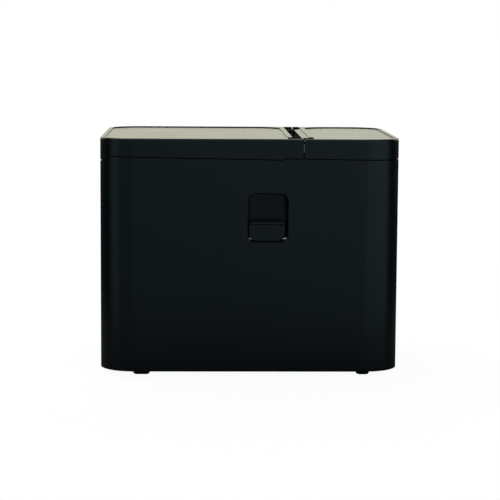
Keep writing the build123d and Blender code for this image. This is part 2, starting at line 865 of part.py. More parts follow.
# inner_frame: roll bucket, deck under the mechanism, legs down to the base plate
bay_rear_x = bay_x - bay_radius
bay_front_x = bay_x + bay_radius
bay_outer_half = bay_half + bay_wall
bucket_sketch = Pos(bay_x, bay_z) * Circle(bay_radius + bay_wall)
bucket_sketch += Polygon(
    (bay_rear_x - bay_wall, bay_z), (bay_front_x + bay_wall, bay_z), (bay_front_x + bay_wall, bay_lip_z),
    (bay_front_x - bay_slope_run, bay_rim_z), (bay_rear_x - bay_wall, bay_rim_z), align=None)
hollow_sketch = Pos(bay_x, bay_z) * Circle(bay_radius)
hollow_sketch += Polygon(
    (bay_rear_x, bay_z), (bay_front_x, bay_z), (bay_front_x, height), (bay_rear_x, height), align=None)
inner_frame = side_sketch(-bay_outer_half, bay_outer_half, bucket_sketch)
inner_frame -= side_sketch(-bay_half, bay_half, hollow_sketch)
inner_frame += block(bay_front_x + bay_wall - bay_front_gap, deck_end_x, -deck_half, deck_half,
                     deck_z - deck_thick, deck_z)
flange = block(bay_rear_x + bay_flange_setback, bay_front_x - bay_flange_setback,
               bay_half + bay_wall / 2, bay_flange_reach, bay_rim_z - bay_wall, bay_rim_z)
inner_frame += both_sides(flange)
leg_places = []
for leg_x, leg_top_z in ((bay_x - leg_rear_reach, bay_z), (bay_front_x - leg_length, bay_z),
                         (deck_end_x - leg_length, deck_z - deck_thick / 2)):
    leg = block(leg_x, leg_x + leg_length, bay_half, bay_outer_half, base_top_z, leg_top_z)
    leg += block(leg_x, leg_x + leg_length, bay_half, bay_outer_half + leg_foot, base_top_z,
                 base_top_z + bay_wall)
    inner_frame += both_sides(leg)
    leg_places.append((leg_x + leg_length / 2, bay_outer_half + leg_foot / 2))
leg_places = [(x, side * y) for x, y in leg_places for side in (-1, 1)]
inner_frame -= side_sketch(-bay_half, bay_half, hollow_sketch)
for x, y in leg_places:
    inner_frame -= rod_z(x, y, screw_radius + thread_gap, base_top_z, base_top_z + bay_wall)
deck_screw_places = [(deck_screw_x, side * (frame_half - deck_screw_inset)) for side in (-1, 1)]
for x, y in deck_screw_places:
    inner_frame -= rod_z(x, y, screw_radius, deck_z - deck_thick, deck_z)
save("inner_frame", inner_frame)


def screw_down(x, y, seat_z, length):
    """Pan-head screw that points down from its seat."""
    screw = rod_z(x, y, screw_head_radius, seat_z, seat_z + screw_head_thick)
    return screw + rod_z(x, y, screw_radius - thread_gap, seat_z - length, seat_z)


# frame_screws hold the legs down on the base plate
save("frame_screws", *[screw_down(x, y, base_top_z + bay_wall, bay_wall) for x, y in leg_places])

# near_end_sensor on the outside of the bucket
sensor_low_z = base_top_z + sensor_lift
sensor = block(bay_x - sensor_reach, bay_x - sensor_reach + sensor_length, -bay_outer_half - sensor_out,
               -bay_outer_half, sensor_low_z, sensor_low_z + sensor_length)
save("near_end_sensor", sensor)

# paper_sensor on the deck, below the paper path
paper_sensor_x = bay_front_x + bay_wall + paper_sensor_gap
save("paper_sensor", block(paper_sensor_x, paper_sensor_x + paper_sensor_length, -paper_sensor_width / 2,
                           paper_sensor_width / 2, deck_z, deck_z + paper_sensor_height))

# Print line: where the platen touches the head, with the directions out of and along the head
out_x = cos(radians(contact_angle))
out_z = sin(radians(contact_angle))
along_x = -out_z
along_z = out_x


def head_point(along, out):
    """Point of the head, measured from the print line along it and away from the platen."""
    reach = platen_radius + paper_gap + out
    return (platen_x + reach * out_x + along * along_x, platen_z + reach * out_z + along * along_z)


def head_slab(y_half, along0, along1, out0, out1):
    return side_plate(-y_half, y_half, head_point(along0, out0), head_point(along1, out0),
                      head_point(along1, out1), head_point(along0, out1))


# print_head: ceramic strip with a slight bead on the print line
save("print_head", head_slab(head_half - head_thick, -head_below, head_above, 0, head_thick))

# head_heatsink: aluminium bar behind the strip, hung on the head pin
sink_out = head_thick + sink_thick
head_pin_x, head_pin_z = head_point(-head_pin_below, head_thick + sink_thick / 2)
sink_boss = rod_y(head_pin_x, head_pin_z, head_boss_radius, -head_half, head_half)
sink = head_slab(head_half, -sink_below, head_above, head_thick, sink_out)
spring_seat_radius = spring_radius + spring_seat_rim
spring_along = (spring_z + spring_seat_radius - head_point(0, sink_out)[1]) / along_z
spring_seat_x = head_point(spring_along, sink_out)[0] + spring_seat_rim
spring_plug_radius = spring_radius - spring_wire - spring_plug_gap
for side in (-1, 1):
    y = side * spring_y
    sink += rod_x(y, spring_z, spring_seat_radius, spring_seat_x - 2 * sink_thick, spring_seat_x)
    sink += rod_x(y, spring_z, spring_plug_radius, spring_seat_x, spring_seat_x + spring_plug_length)
sink -= head_slab(width, -bay_radius, bay_radius, -bay_radius, head_thick)
sink += sink_boss
sink -= rod_y(head_pin_x, head_pin_z, head_pin_radius + pin_fit, -head_half, head_half)
save("head_heatsink", sink)

# head_pin across the mechanism frame
save("head_pin", rod_y(head_pin_x, head_pin_z, head_pin_radius, -frame_half, frame_half))

# head_springs between the heatsink and the cross wall
cross_wall_front_x = frame_front_x - cross_wall_inset
cross_wall_rear_x = cross_wall_front_x - frame_thick
springs = []
for side in (-1, 1):
    y = side * spring_y
    sleeve = rod_x(y, spring_z, spring_radius, spring_seat_x, cross_wall_rear_x)
    sleeve -= rod_x(y, spring_z, spring_radius - spring_wire, spring_seat_x, cross_wall_rear_x)
    springs.append(sleeve)
save("head_springs", *springs)

# Gear train centres, each measured from the gear before it
idler_x, idler_z = centre_from(platen_x, platen_z, idler_bearing_angle,
                               feed_module * (platen_teeth + idler_teeth) / 2)
reduction_x, reduction_z = centre_from(idler_x, idler_z, reduction_bearing_angle,
                                       feed_module * (idler_teeth + reduction_small_teeth) / 2)
motor_x, motor_z = centre_from(reduction_x, reduction_z, motor_bearing_angle,
                               feed_module * (reduction_large_teeth + motor_teeth) / 2)

# mechanism_frame: steel channel with two side plates, a cross wall and a foot on the deck
bush_notch = bush_radius + bush_notch_gap
lift_x = (hinge_z - platen_z) / hypot(platen_x - rear_pin_x, hinge_z - platen_z)
lift_z = (platen_x - rear_pin_x) / hypot(platen_x - rear_pin_x, hinge_z - platen_z)
notch_sketch = Pos(platen_x, platen_z) * Circle(bush_notch)
notch_sketch += Polygon(
    (platen_x - bush_notch * lift_z, platen_z + bush_notch * lift_x),
    (platen_x + bush_notch * lift_z, platen_z - bush_notch * lift_x),
    (platen_x + (bush_notch + notch_flare) * lift_z + notch_length * lift_x,
     platen_z - (bush_notch + notch_flare) * lift_x + notch_length * lift_z),
    (platen_x - (bush_notch + notch_flare) * lift_z + notch_length * lift_x,
     platen_z + (bush_notch + notch_flare) * lift_x + notch_length * lift_z), align=None)
side_outline = Polygon(
    (frame_rear_x, deck_z), (frame_front_x, deck_z), (frame_front_x, frame_top_z),
    (frame_rear_x, frame_top_z), align=None)
motor_outline = Polygon(
    (frame_rear_x, motor_plate_low_z), (motor_plate_front_x, motor_plate_low_z),
    (motor_plate_front_x, deck_z + motor_plate_lap), (frame_rear_x, deck_z + motor_plate_lap),
    align=None)
near_plate = side_sketch(-frame_half, -frame_inner_half, side_outline - notch_sketch)
far_plate = side_sketch(frame_inner_half, frame_half, side_outline + motor_outline - notch_sketch)
mechanism_frame = near_plate + far_plate
mechanism_frame += block(cross_wall_rear_x, cross_wall_front_x, -frame_half, frame_half, deck_z,
                         frame_top_z)
mechanism_frame += block(cross_wall_front_x - frame_foot, cross_wall_front_x, -frame_half, frame_half,
                         deck_z, deck_z + frame_thick)
mechanism_frame -= rod_y(head_pin_x, head_pin_z, head_pin_radius, -frame_half, frame_half)
for x, y in deck_screw_places:
    mechanism_frame -= rod_z(x, y, screw_radius + thread_gap, deck_z, deck_z + frame_thick)
mechanism_frame -= rod_y(motor_x, motor_z, feed_motor_boss, frame_inner_half, frame_half)
for x, z in ((idler_x, idler_z), (reduction_x, reduction_z)):
    mechanism_frame -= rod_y(x, z, post_radius, frame_inner_half, frame_half)
motor_ear_places = [(motor_x + side * feed_motor_ear, motor_z) for side in (-1, 1)]
for x, z in motor_ear_places:
    mechanism_frame -= rod_y(x, z, screw_radius + thread_gap, frame_inner_half, frame_half)
for side in (-1, 1):
    plate_y0 = min(side * frame_inner_half, side * frame_half)
    mechanism_frame -= rod_y(lock_x, lock_z, lock_pin_radius, plate_y0, plate_y0 + frame_thick)
save("mechanism_frame", mechanism_frame)

# deck_screws hold the mechanism frame on the deck
save("deck_screws", *[screw_down(x, y, deck_z + frame_thick, frame_thick + deck_thick)
                      for x, y in deck_screw_places])

# gear_posts, one for each gear that turns freely, with gear_clips on their ends
layer_end = gear_layer_y + gear_face
large_layer_y = layer_end + gear_layer_gap
large_layer_end = large_layer_y + large_gear_face
idler_post_end = layer_end + clip_gap
reduction_post_end = large_layer_end + clip_gap
posts = []
clips = []
for x, z, end in ((idler_x, idler_z, idler_post_end), (reduction_x, reduction_z, reduction_post_end)):
    clip_end = end + clip_thick
    groove_core = rod_y(x, z, post_radius - post_groove, end, clip_end)
    post = rod_y(x, z, post_radius, frame_inner_half, clip_end + post_end)
    post += rod_y(x, z, post_radius + post_collar, frame_half, gear_layer_y - post_collar_gap)
    post -= rod_y(x, z, post_radius, end, clip_end) - groove_core
    posts.append(post)
    clips.append(rod_y(x, z, post_radius + clip_rim, end, clip_end) - groove_core)
save("gear_posts", *posts)
save("gear_clips", *clips)

# Gears, from the platen down to the motor
platen_phase = 0
idler_phase = mesh_phase(idler_bearing_angle, platen_teeth, platen_phase, idler_teeth)
reduction_phase = mesh_phase(reduction_bearing_angle, idler_teeth, idler_phase, reduction_small_teeth)
large_phase = 0
motor_phase = mesh_phase(motor_bearing_angle, reduction_large_teeth, large_phase, motor_teeth)
shaft_far_y = layer_end + shaft_end
save("platen_gear", gear(feed_module, platen_teeth, platen_phase, platen_x, platen_z, gear_layer_y,
                         layer_end, shaft_radius))
idler = gear(feed_module, idler_teeth, idler_phase, idler_x, idler_z, gear_layer_y, layer_end,
             post_radius + pin_fit)
save("idler_gear", idler)
reduction = gear(feed_module, reduction_small_teeth, reduction_phase, reduction_x, reduction_z,
                 gear_layer_y, large_layer_y, post_radius + pin_fit)
reduction += gear(feed_module, reduction_large_teeth, large_phase, reduction_x, reduction_z,
                  large_layer_y, large_layer_end, post_radius + pin_fit)
save("reduction_gear", reduction)
save("motor_pinion", gear(feed_module, motor_teeth, motor_phase, motor_x, motor_z, large_layer_y,
                          large_layer_end, motor_shaft_radius)
     + rod_y(motor_x, motor_z, motor_shaft_radius, frame_half + motor_shaft_gap, large_layer_end))

# feed_motor: stepper can with a flat flange, inside the far plate
motor_near_y = frame_inner_half - feed_motor_length
feed_motor = rod_y(motor_x, motor_z, feed_motor_radius, motor_near_y, frame_inner_half)
feed_motor += rod_y(motor_x, motor_z, feed_motor_boss - thread_gap, frame_inner_half, frame_half)
flange_outline = Pos(motor_x, motor_z) * (
    SlotOverall(2 * feed_motor_ear + feed_motor_ear_width, feed_motor_ear_width))
flange_y = frame_inner_half - feed_motor_flange
feed_motor += side_sketch(flange_y, frame_inner_half, flange_outline)
for x, z in motor_ear_places:
    feed_motor -= rod_y(x, z, screw_radius + thread_gap, flange_y, frame_inner_half)
save("feed_motor", feed_motor)
motor_screws = []
for x, z in motor_ear_places:
    screw = rod_y(x, z, screw_head_radius, frame_half, frame_half + screw_head_thick)
    motor_screws.append(screw + rod_y(x, z, screw_radius - thread_gap,
                                      frame_inner_half - motor_screw_grip, frame_half))
save("motor_screws", *motor_screws)

# platen_shaft, platen_roller, platen_bushes
hook_inner_half = frame_half + lock_gap
hook_outer_half = hook_inner_half + lock_thick
save("platen_shaft", rod_y(platen_x, platen_z, shaft_radius, -hook_outer_half - shaft_end, shaft_far_y))
roller = rod_y(platen_x, platen_z, platen_radius, -platen_half, platen_half)
save("platen_roller", roller - rod_y(platen_x, platen_z, shaft_radius, -platen_half, platen_half))
bushes = []
bush_end = frame_half + bush_out
for side in (-1, 1):
    y0 = min(side * arm_inner_half, side * bush_end)
    y1 = max(side * arm_inner_half, side * bush_end)
    bush = rod_y(platen_x, platen_z, bush_radius, y0, y1)
    bushes.append(bush - rod_y(platen_x, platen_z, shaft_radius + pin_fit, y0, y1))
save("platen_bushes", *bushes)

# cover_liner: inner moulding of the rear cover, with the two platen arms and the blade ledge
liner_front_x = slot_rear_x - wall
liner = block(rear_x + liner_rear_inset, liner_front_x, -arm_half, arm_half, liner_low_z, liner_top_z)
for x, y in liner_screw_places:
    liner -= rod_z(x, y, screw_radius + thread_gap, liner_low_z, liner_top_z)
front_wall_low_z = fixed_blade_low_z + 2 * blade_thick + blade_pass_gap + blade_front_gap
liner += block(liner_front_x - liner_front_thick, liner_front_x, -arm_half, arm_half,
               front_wall_low_z, liner_top_z)
ledge_front_x = moving_blade_tip_x - cutter_stroke - ledge_front_gap
fixed_blade_top_z = fixed_blade_low_z + blade_thick
ledge_rear_x = fixed_blade_edge_x - fixed_blade_length - ledge_rear_reach
liner += block(ledge_rear_x, ledge_front_x, -arm_half, arm_half, fixed_blade_top_z,
               fixed_blade_top_z + ledge_thick)
liner += block(ledge_rear_x, ledge_rear_x + liner_wall_thick, -arm_half, arm_half, fixed_blade_top_z,
               liner_top_z)
arm_radius = bush_radius + arm_margin
arm_outline = Polygon(
    (ledge_rear_x - arm_rear_reach, liner_top_z), (liner_front_x, liner_top_z),
    (liner_front_x, front_wall_low_z), (platen_x + arm_radius - arm_front_gap, platen_z),
    (platen_x, platen_z - arm_radius), (platen_x - arm_radius, platen_z), align=None)
arm_sketch = arm_outline + Pos(platen_x, platen_z) * Circle(arm_radius)
arm_sketch -= Pos(platen_x, platen_z) * Circle(bush_radius)
liner += both_sides(side_sketch(arm_inner_half, arm_half, arm_sketch))
blade_screw_places = [(ledge_rear_x + blade_screw_reach, side * (arm_half - blade_screw_inset))
                      for side in (-1, 1)]
for x, y in blade_screw_places:
    liner -= rod_z(x, y, screw_radius, fixed_blade_top_z, fixed_blade_top_z + ledge_thick)
for rib_x in (rear_x + liner_rib_inset, rear_x + liner_rib_inset + liner_rib_step):
    liner += block(rib_x, rib_x + liner_wall_thick, -arm_half, arm_half, liner_low_z - liner_rib_depth,
                   liner_low_z)
save("cover_liner", liner)

# fixed_blade and its screws, liner_screws
fixed_blade = block(fixed_blade_edge_x - fixed_blade_length, fixed_blade_edge_x, -arm_inner_half,
                    arm_inner_half, fixed_blade_low_z, fixed_blade_top_z)
for x, y in blade_screw_places:
    fixed_blade -= rod_z(x, y, screw_radius + thread_gap, fixed_blade_low_z, fixed_blade_top_z)
save("fixed_blade", fixed_blade)


def screw_up(x, y, seat_z, length, head=screw_head_thick):
    """Screw that points up from its seat."""
    screw = rod_z(x, y, screw_head_radius, seat_z - head, seat_z)
    return screw + rod_z(x, y, screw_radius - thread_gap, seat_z, seat_z + length)


save("blade_screws", *[screw_up(x, y, fixed_blade_low_z, blade_thick + blade_screw_grip, thin_head_thick)
                       for x, y in blade_screw_places])
save("liner_screws", *[screw_up(x, y, liner_low_z, liner_thick + liner_screw_grip)
                       for x, y in liner_screw_places])

# lock_pivots, riveted in the side plates
lock_pivots = []
for side in (-1, 1):
    pivot_end = hook_outer_half + lock_spring_gap + lock_spring_length
    y0 = min(side * frame_inner_half, side * pivot_end)
    y1 = max(side * frame_inner_half, side * pivot_end)
    lock_pivots.append(rod_y(lock_x, lock_z, lock_pin_radius, y0, y1))
save("lock_pivots", *lock_pivots)

# lock_bracket: two hooks over the platen shaft, a bar across and an arm above the lever's tail
hook_low_z = platen_z + shaft_radius + lock_hook_gap
arm_low_z = tail_top_z + lock_arm_gap
hook_outline = Polygon(
    (lock_x - lock_front, lock_z - lock_half), (lock_x + lock_front, lock_z - lock_half),
    (lock_x + lock_front, lock_z + lock_neck_rise),
    (platen_x + hook_back_reach, hook_low_z + hook_back_rise),
    (platen_x + hook_top_reach, hook_low_z + hook_top_rise), (platen_x - hook_tip_reach, hook_low_z),
    (platen_x + hook_mouth_reach, hook_low_z),
    (platen_x + hook_throat_reach, platen_z - hook_throat_drop), align=None)
bar_high_z = lock_bar_low_z + lock_bar_height
bar_outline = Polygon(
    (lock_x, lock_z - lock_half), (lock_x + lock_front, lock_z - lock_half),
    (lock_bar_x + lock_thick, lock_bar_low_z), (lock_bar_x + lock_thick, bar_high_z),
    (lock_x + lock_front, bar_high_z), (lock_x, lock_z + lock_neck_back), align=None)
arm_tip_x0 = tail_x0 - lock_arm_lap
arm_tip_x1 = tail_x0 + lever_tail_nose
arm_outline = Polygon(
    (arm_tip_x0, arm_low_z), (arm_tip_x1, arm_low_z),
    (arm_tip_x1 + lock_arm_lap, arm_low_z + lock_arm_toe), (lock_x, lock_z - lock_half),
    (lock_x, lock_z + lock_half), (arm_tip_x0, arm_low_z + lock_arm_height), align=None)
pivot_hole = Pos(lock_x, lock_z) * Circle(lock_pin_radius + pin_fit)
far_side = side_sketch(hook_inner_half, hook_outer_half, hook_outline + bar_outline - pivot_hole)
near_side = side_sketch(-hook_outer_half, -hook_inner_half,
                        hook_outline + bar_outline + arm_outline - pivot_hole)
lock_bracket = near_side + far_side
lock_bracket += block(lock_bar_x, lock_bar_x + lock_thick, -hook_outer_half, hook_outer_half,
                      lock_bar_low_z, bar_high_z)
save("lock_bracket", lock_bracket)

# lock_spring: torsion spring round the near pivot
coil_end_y = -(hook_outer_half + lock_spring_gap)
coil_far_y = coil_end_y - lock_spring_length
lock_spring = rod_y(lock_x, lock_z, lock_pin_radius + lock_spring_thick, coil_far_y, coil_end_y)
save("lock_spring", lock_spring - rod_y(lock_x, lock_z, lock_pin_radius, coil_far_y, coil_end_y))

# cutter_base: plate on top of the mechanism frame, with carriage rails, front lip and motor cheek
cutter_plate_low_z = frame_top_z
cutter_plate_top_z = cutter_plate_low_z + cutter_plate_thick
guide_x0 = moving_blade_tip_x - cutter_lip_gap
cutter_base = block(guide_x0, cutter_plate_front_x, -frame_half, frame_half, cutter_plate_low_z,
                    cutter_plate_top_z)
fixed_line_z = fixed_blade_top_z + blade_pass_gap
cutter_base += block(guide_x0, guide_x0 + cutter_plate_thick, -head_half, head_half,
                     cutter_plate_low_z - cutter_lip_depth, fixed_line_z - cutter_lip_pass)
rail_inner_half = carriage_half + rail_gap
carriage_top_z = fixed_line_z + blade_thick + carriage_thick
rail_x0 = ramp_toe_x + ramp_thick + rail_front_gap
rail_low_z = carriage_top_z + rail_gap
rail = block(rail_x0, cutter_plate_front_x, rail_inner_half, frame_half,
             cutter_plate_top_z, rail_low_z)
rail += block(rail_x0, cutter_plate_front_x, rail_inner_half - rail_lap, frame_half, rail_low_z,
              rail_low_z + rail_thick)
cutter_base += both_sides(rail)
rack_pinion_pitch = rack_module * rack_pinion_teeth / 2
rack_pinion_tip = rack_pinion_pitch + tooth_tip * rack_module
cutter_shaft_z = rack_pitch_z - rack_pinion_pitch
rack_outer_half = rack_inner_half + rack_width
window_half = rack_pinion_tip + cutter_window_gap
window = block(cutter_shaft_x - window_half, cutter_shaft_x + window_half,
               rack_inner_half - cutter_window_side_gap, rack_outer_half + cutter_window_side_gap,
               cutter_plate_low_z, cutter_plate_top_z)
cutter_base -= both_sides(window)
cutter_motor_x, cutter_motor_z = centre_from(
    cutter_shaft_x, cutter_shaft_z, cutter_motor_angle,
    cutter_gear_module * (cutter_gear_teeth + cutter_pinion_teeth) / 2)
cheek_low_z = cutter_motor_z - cutter_motor_radius
near_cheek = Polygon(
    (cutter_shaft_x - cheek_half, cutter_plate_top_z),
    (cutter_shaft_x - cheek_half, cutter_shaft_z - cheek_neck_drop),
    (cutter_shaft_x + cheek_knee_reach, cutter_shaft_z - cheek_knee_drop),
    (cutter_motor_x - cheek_toe_reach, cheek_low_z),
    (cutter_motor_x + cutter_motor_radius, cheek_low_z),
    (cutter_motor_x + cutter_motor_radius, cutter_plate_top_z), align=None)
far_cheek = Polygon(
    (cutter_shaft_x - cheek_half, cutter_plate_top_z),
    (cutter_shaft_x - cheek_half, cutter_shaft_z - cheek_half),
    (cutter_shaft_x + cheek_half, cutter_shaft_z - cheek_half),
    (cutter_shaft_x + cheek_half, cutter_plate_top_z), align=None)
shaft_hole = Pos(cutter_shaft_x, cutter_shaft_z) * Circle(cutter_shaft_radius + pin_fit)
motor_hole = Pos(cutter_motor_x, cutter_motor_z) * Circle(cutter_motor_boss)
cutter_base += side_sketch(-frame_half, -frame_inner_half, near_cheek)
cutter_base += side_sketch(frame_inner_half, frame_half, far_cheek)
cutter_base -= side_sketch(-frame_half, -frame_inner_half, motor_hole)
cutter_base -= side_sketch(-frame_half, frame_half, shaft_hole)
save("cutter_base", cutter_base)

# cutter_blade with a shallow vee edge, so that it cuts from both ends
blade_low_z = fixed_line_z
blade_top_z = blade_low_z + blade_thick
blade_back_x = moving_blade_tip_x + moving_blade_length
blade_outline = Polygon(
    (moving_blade_tip_x, -blade_half), (moving_blade_tip_x + blade_vee, 0),
    (moving_blade_tip_x, blade_half), (blade_back_x, blade_half), (blade_back_x, -blade_half),
    align=None)
save("cutter_blade", Pos(0, 0, blade_low_z) * extrude(blade_outline, blade_thick, dir=(0, 0, 1)))

# cutter_carriage: plate over the blade, two runners and two racks
carriage = block(carriage_front_x, carriage_rear_x, -carriage_half, carriage_half, blade_top_z,
                 carriage_top_z)
runner_x0 = blade_back_x + runner_start_gap
runner = block(runner_x0, carriage_rear_x, runner_y, runner_y + runner_width,
               cutter_plate_top_z + runner_gap, blade_top_z)
carriage += both_sides(runner)
rack_root_z = rack_pitch_z + tooth_root * rack_module
rack_tip_z = rack_pitch_z - tooth_tip * rack_module
rack_x0 = runner_x0 + runner_start_gap
rack = block(rack_x0, carriage_rear_x, rack_inner_half, rack_outer_half, rack_root_z, blade_top_z)
rack_pitch = pi * rack_module
rack_slope = tan(radians(pressure_angle))
rack_half = rack_pitch / 4 - rack_backlash
rack_low_half = rack_half - (rack_pitch_z - rack_tip_z) * rack_slope
rack_high_half = rack_half + (rack_root_z - rack_pitch_z) * rack_slope
first_tooth = -int((cutter_shaft_x - rack_x0) / rack_pitch - 0.5)
last_tooth = int((carriage_rear_x - cutter_shaft_x) / rack_pitch - 0.5)
for number in range(first_tooth, last_tooth + 1):
    middle = cutter_shaft_x + number * rack_pitch
    tooth = side_plate(
        rack_inner_half, rack_outer_half,
        (middle - rack_high_half, rack_root_z), (middle - rack_low_half, rack_tip_z),
        (middle + rack_low_half, rack_tip_z), (middle + rack_high_half, rack_root_z))
    rack += tooth
carriage += both_sides(rack)
save("cutter_carriage", carriage)

# cutter_shaft with its two rack pinions, and the cutter_gear on its near end
shaft = rod_y(cutter_shaft_x, cutter_shaft_z, cutter_shaft_radius, cutter_gear_y - shaft_end,
              frame_half + shaft_end)
rack_phase = 90 + 180 / rack_pinion_teeth
for side in (-1, 1):
    y0 = min(side * rack_inner_half, side * rack_outer_half)
    shaft += gear(rack_module, rack_pinion_teeth, rack_phase, cutter_shaft_x, cutter_shaft_z, y0,
                  y0 + rack_width, cutter_shaft_radius)
save("cutter_shaft", shaft)
cutter_gear_end = cutter_gear_y + cutter_gear_face
cutter_gear_phase = 0
save("cutter_gear", gear(cutter_gear_module, cutter_gear_teeth, cutter_gear_phase, cutter_shaft_x,
                         cutter_shaft_z, cutter_gear_y, cutter_gear_end, cutter_shaft_radius))
cutter_pinion_phase = mesh_phase(cutter_motor_angle, cutter_gear_teeth, cutter_gear_phase,
                                 cutter_pinion_teeth)
cutter_pinion = gear(cutter_gear_module, cutter_pinion_teeth, cutter_pinion_phase, cutter_motor_x,
                     cutter_motor_z, cutter_gear_y, cutter_gear_end, motor_shaft_radius)
cutter_pinion += rod_y(cutter_motor_x, cutter_motor_z, motor_shaft_radius, cutter_gear_y,
                       -frame_half - motor_shaft_gap)
save("cutter_pinion", cutter_pinion)

# cutter_motor: small motor with two flat sides, on the inside of the near cheek
motor_sketch = Pos(cutter_motor_x, cutter_motor_z) * (
    Circle(cutter_motor_radius) & Rectangle(2 * cutter_motor_radius, 2 * cutter_motor_flat))
cutter_motor = side_sketch(-frame_inner_half, -frame_inner_half + cutter_motor_length, motor_sketch)
cutter_motor += rod_y(cutter_motor_x, cutter_motor_z, cutter_motor_boss - thread_gap, -frame_half,
                      -frame_inner_half)
save("cutter_motor", cutter_motor)

# main_board and its screws
board_top_z = board_low_z + board_thick
main_board = block(board_rear_x, board_front_x, -board_half, board_half, board_low_z, board_top_z)
for x, y in board_post_places:
    main_board -= rod_z(x, y, screw_radius + thread_gap, board_low_z, board_top_z)
save("main_board", main_board)
save("board_screws", *[screw_down(x, y, board_top_z, board_top_z - base_top_z)
                       for x, y in board_post_places])

# Sockets along the rear edge: middle, width, height, and the size of each mouth
socket_front_x = board_rear_x + socket_on_board
socket_mouth_end = socket_rear_x + socket_mouth_depth
socket_sizes = {
    "power_socket": (power_socket_y, power_socket_width, power_socket_height),
    "drawer_socket": (drawer_socket_y, drawer_socket_width, drawer_socket_height),
    "usb_socket": (usb_socket_y, usb_socket_width, usb_socket_height),
    "lan_socket": (lan_socket_y, lan_socket_width, lan_socket_height),
}
socket_mouths = {
    "drawer_socket": (drawer_mouth_width, drawer_mouth_height),
    "usb_socket": (usb_mouth_width, usb_mouth_height),
    "lan_socket": (lan_mouth_width, lan_mouth_height),
}
io_plate = block(rear_x + wall, rear_x + wall + io_thick, -io_half - io_lap, io_half + io_lap,
                 base_top_z, io_low_z + io_height + io_lap)
for name, (middle, socket_width, socket_height) in socket_sizes.items():
    body = block(socket_rear_x, socket_front_x, middle - socket_width / 2, middle + socket_width / 2,
                 board_top_z, board_top_z + socket_height)
    io_plate -= block(rear_x, rear_x + wall + 2 * io_thick, middle - socket_width / 2 - socket_gap,
                      middle + socket_width / 2 + socket_gap, board_top_z - socket_gap,
                      board_top_z + socket_height + socket_gap)
    mouth_z = board_top_z + socket_height / 2
    if name in socket_mouths:
        mouth_width, mouth_height = socket_mouths[name]
        body -= block(socket_rear_x, socket_mouth_end, middle - mouth_width / 2,
                      middle + mouth_width / 2, mouth_z - mouth_height / 2, mouth_z + mouth_height / 2)
        tongue_half = mouth_width / 4
        tongue_top_z = mouth_z + mouth_height / 2
        body += block(socket_rear_x + socket_tongue_inset, socket_mouth_end, middle - tongue_half,
                      middle + tongue_half, tongue_top_z - socket_tongue_thick, tongue_top_z)
    else:
        body -= rod_x(middle, mouth_z, power_mouth_radius, socket_rear_x, socket_mouth_end)
        for angle in (90, 210, 330):
            pin_y = middle + power_pin_circle * cos(radians(angle))
            pin_z = mouth_z + power_pin_circle * sin(radians(angle))
            body += rod_x(pin_y, pin_z, power_pin_radius, socket_rear_x + power_pin_inset,
                          socket_mouth_end)
    save(name, body)
save("io_plate", io_plate)

# control_panel in the window of the front face
panel_face_x = front_x - panel_sunk
panel_back_x = front_x - wall
panel_sketch = Plane.YZ * Pos(0, panel_mid_z) * RectangleRounded(
    2 * panel_half - 2 * panel_gap, panel_height - 2 * panel_gap, panel_radius - panel_gap)
lip_sketch = Plane.YZ * Pos(0, panel_mid_z) * RectangleRounded(
    2 * panel_half + 2 * panel_lip, panel_height + 2 * panel_lip, panel_radius)
panel_under_x = panel_back_x - panel_lip_thick
panel = Pos(panel_back_x, 0, 0) * extrude(panel_sketch, panel_face_x - panel_back_x)
panel += Pos(panel_under_x, 0, 0) * extrude(lip_sketch, panel_lip_thick)
buttons = {"feed_button": feed_button_y, "power_button": power_button_y}
for y in buttons.values():
    panel -= rod_x(y, panel_mid_z, button_radius + button_gap, panel_under_x, panel_face_x)
light_ys = (-light_pitch, 0, light_pitch)
light_z = panel_mid_z + light_rise
for y in light_ys:
    panel -= rod_x(y, light_z, light_radius, panel_under_x, panel_face_x)
key_board_front_x = key_board_x + board_thick
for y in (panel_post_inset - panel_half, panel_half - panel_post_inset):
    panel += rod_x(y, panel_mid_z, panel_post_radius, key_board_front_x, panel_under_x)
save("control_panel", panel)

# key_board with a switch behind each button
key_board = block(key_board_x, key_board_front_x, -panel_half, panel_half,
                  panel_mid_z - key_board_height / 2, panel_mid_z + key_board_height / 2)
switch_front_x = key_board_front_x + switch_height
for y in buttons.values():
    key_board += block(key_board_front_x, switch_front_x, y - switch_width / 2, y + switch_width / 2,
                       panel_mid_z - switch_width / 2, panel_mid_z + switch_width / 2)
save("key_board", key_board)

# feed_button and power_button: caps with a collar behind the panel
for name, y in buttons.items():
    collar_x1 = panel_under_x - collar_gap
    button = rod_x(y, panel_mid_z, button_radius, collar_x1, panel_face_x + button_proud)
    button = chamfer(button.edges().group_by(Axis.X)[-1], button_edge)
    button += rod_x(y, panel_mid_z, button_radius + collar_rim, collar_x1 - collar_thick, collar_x1)
    button += rod_x(y, panel_mid_z, button_stem_radius,
                    switch_front_x + button_travel + button_stem_gap, collar_x1 - collar_thick)
    save(name, button)

# status_lights: three light pipes
lights = []
for y in light_ys:
    lights.append(rod_x(y, light_z, light_radius, key_board_front_x, panel_face_x))
save("status_lights", *lights)
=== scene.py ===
import math

import bmesh
import bpy
from mathutils import Matrix, Vector


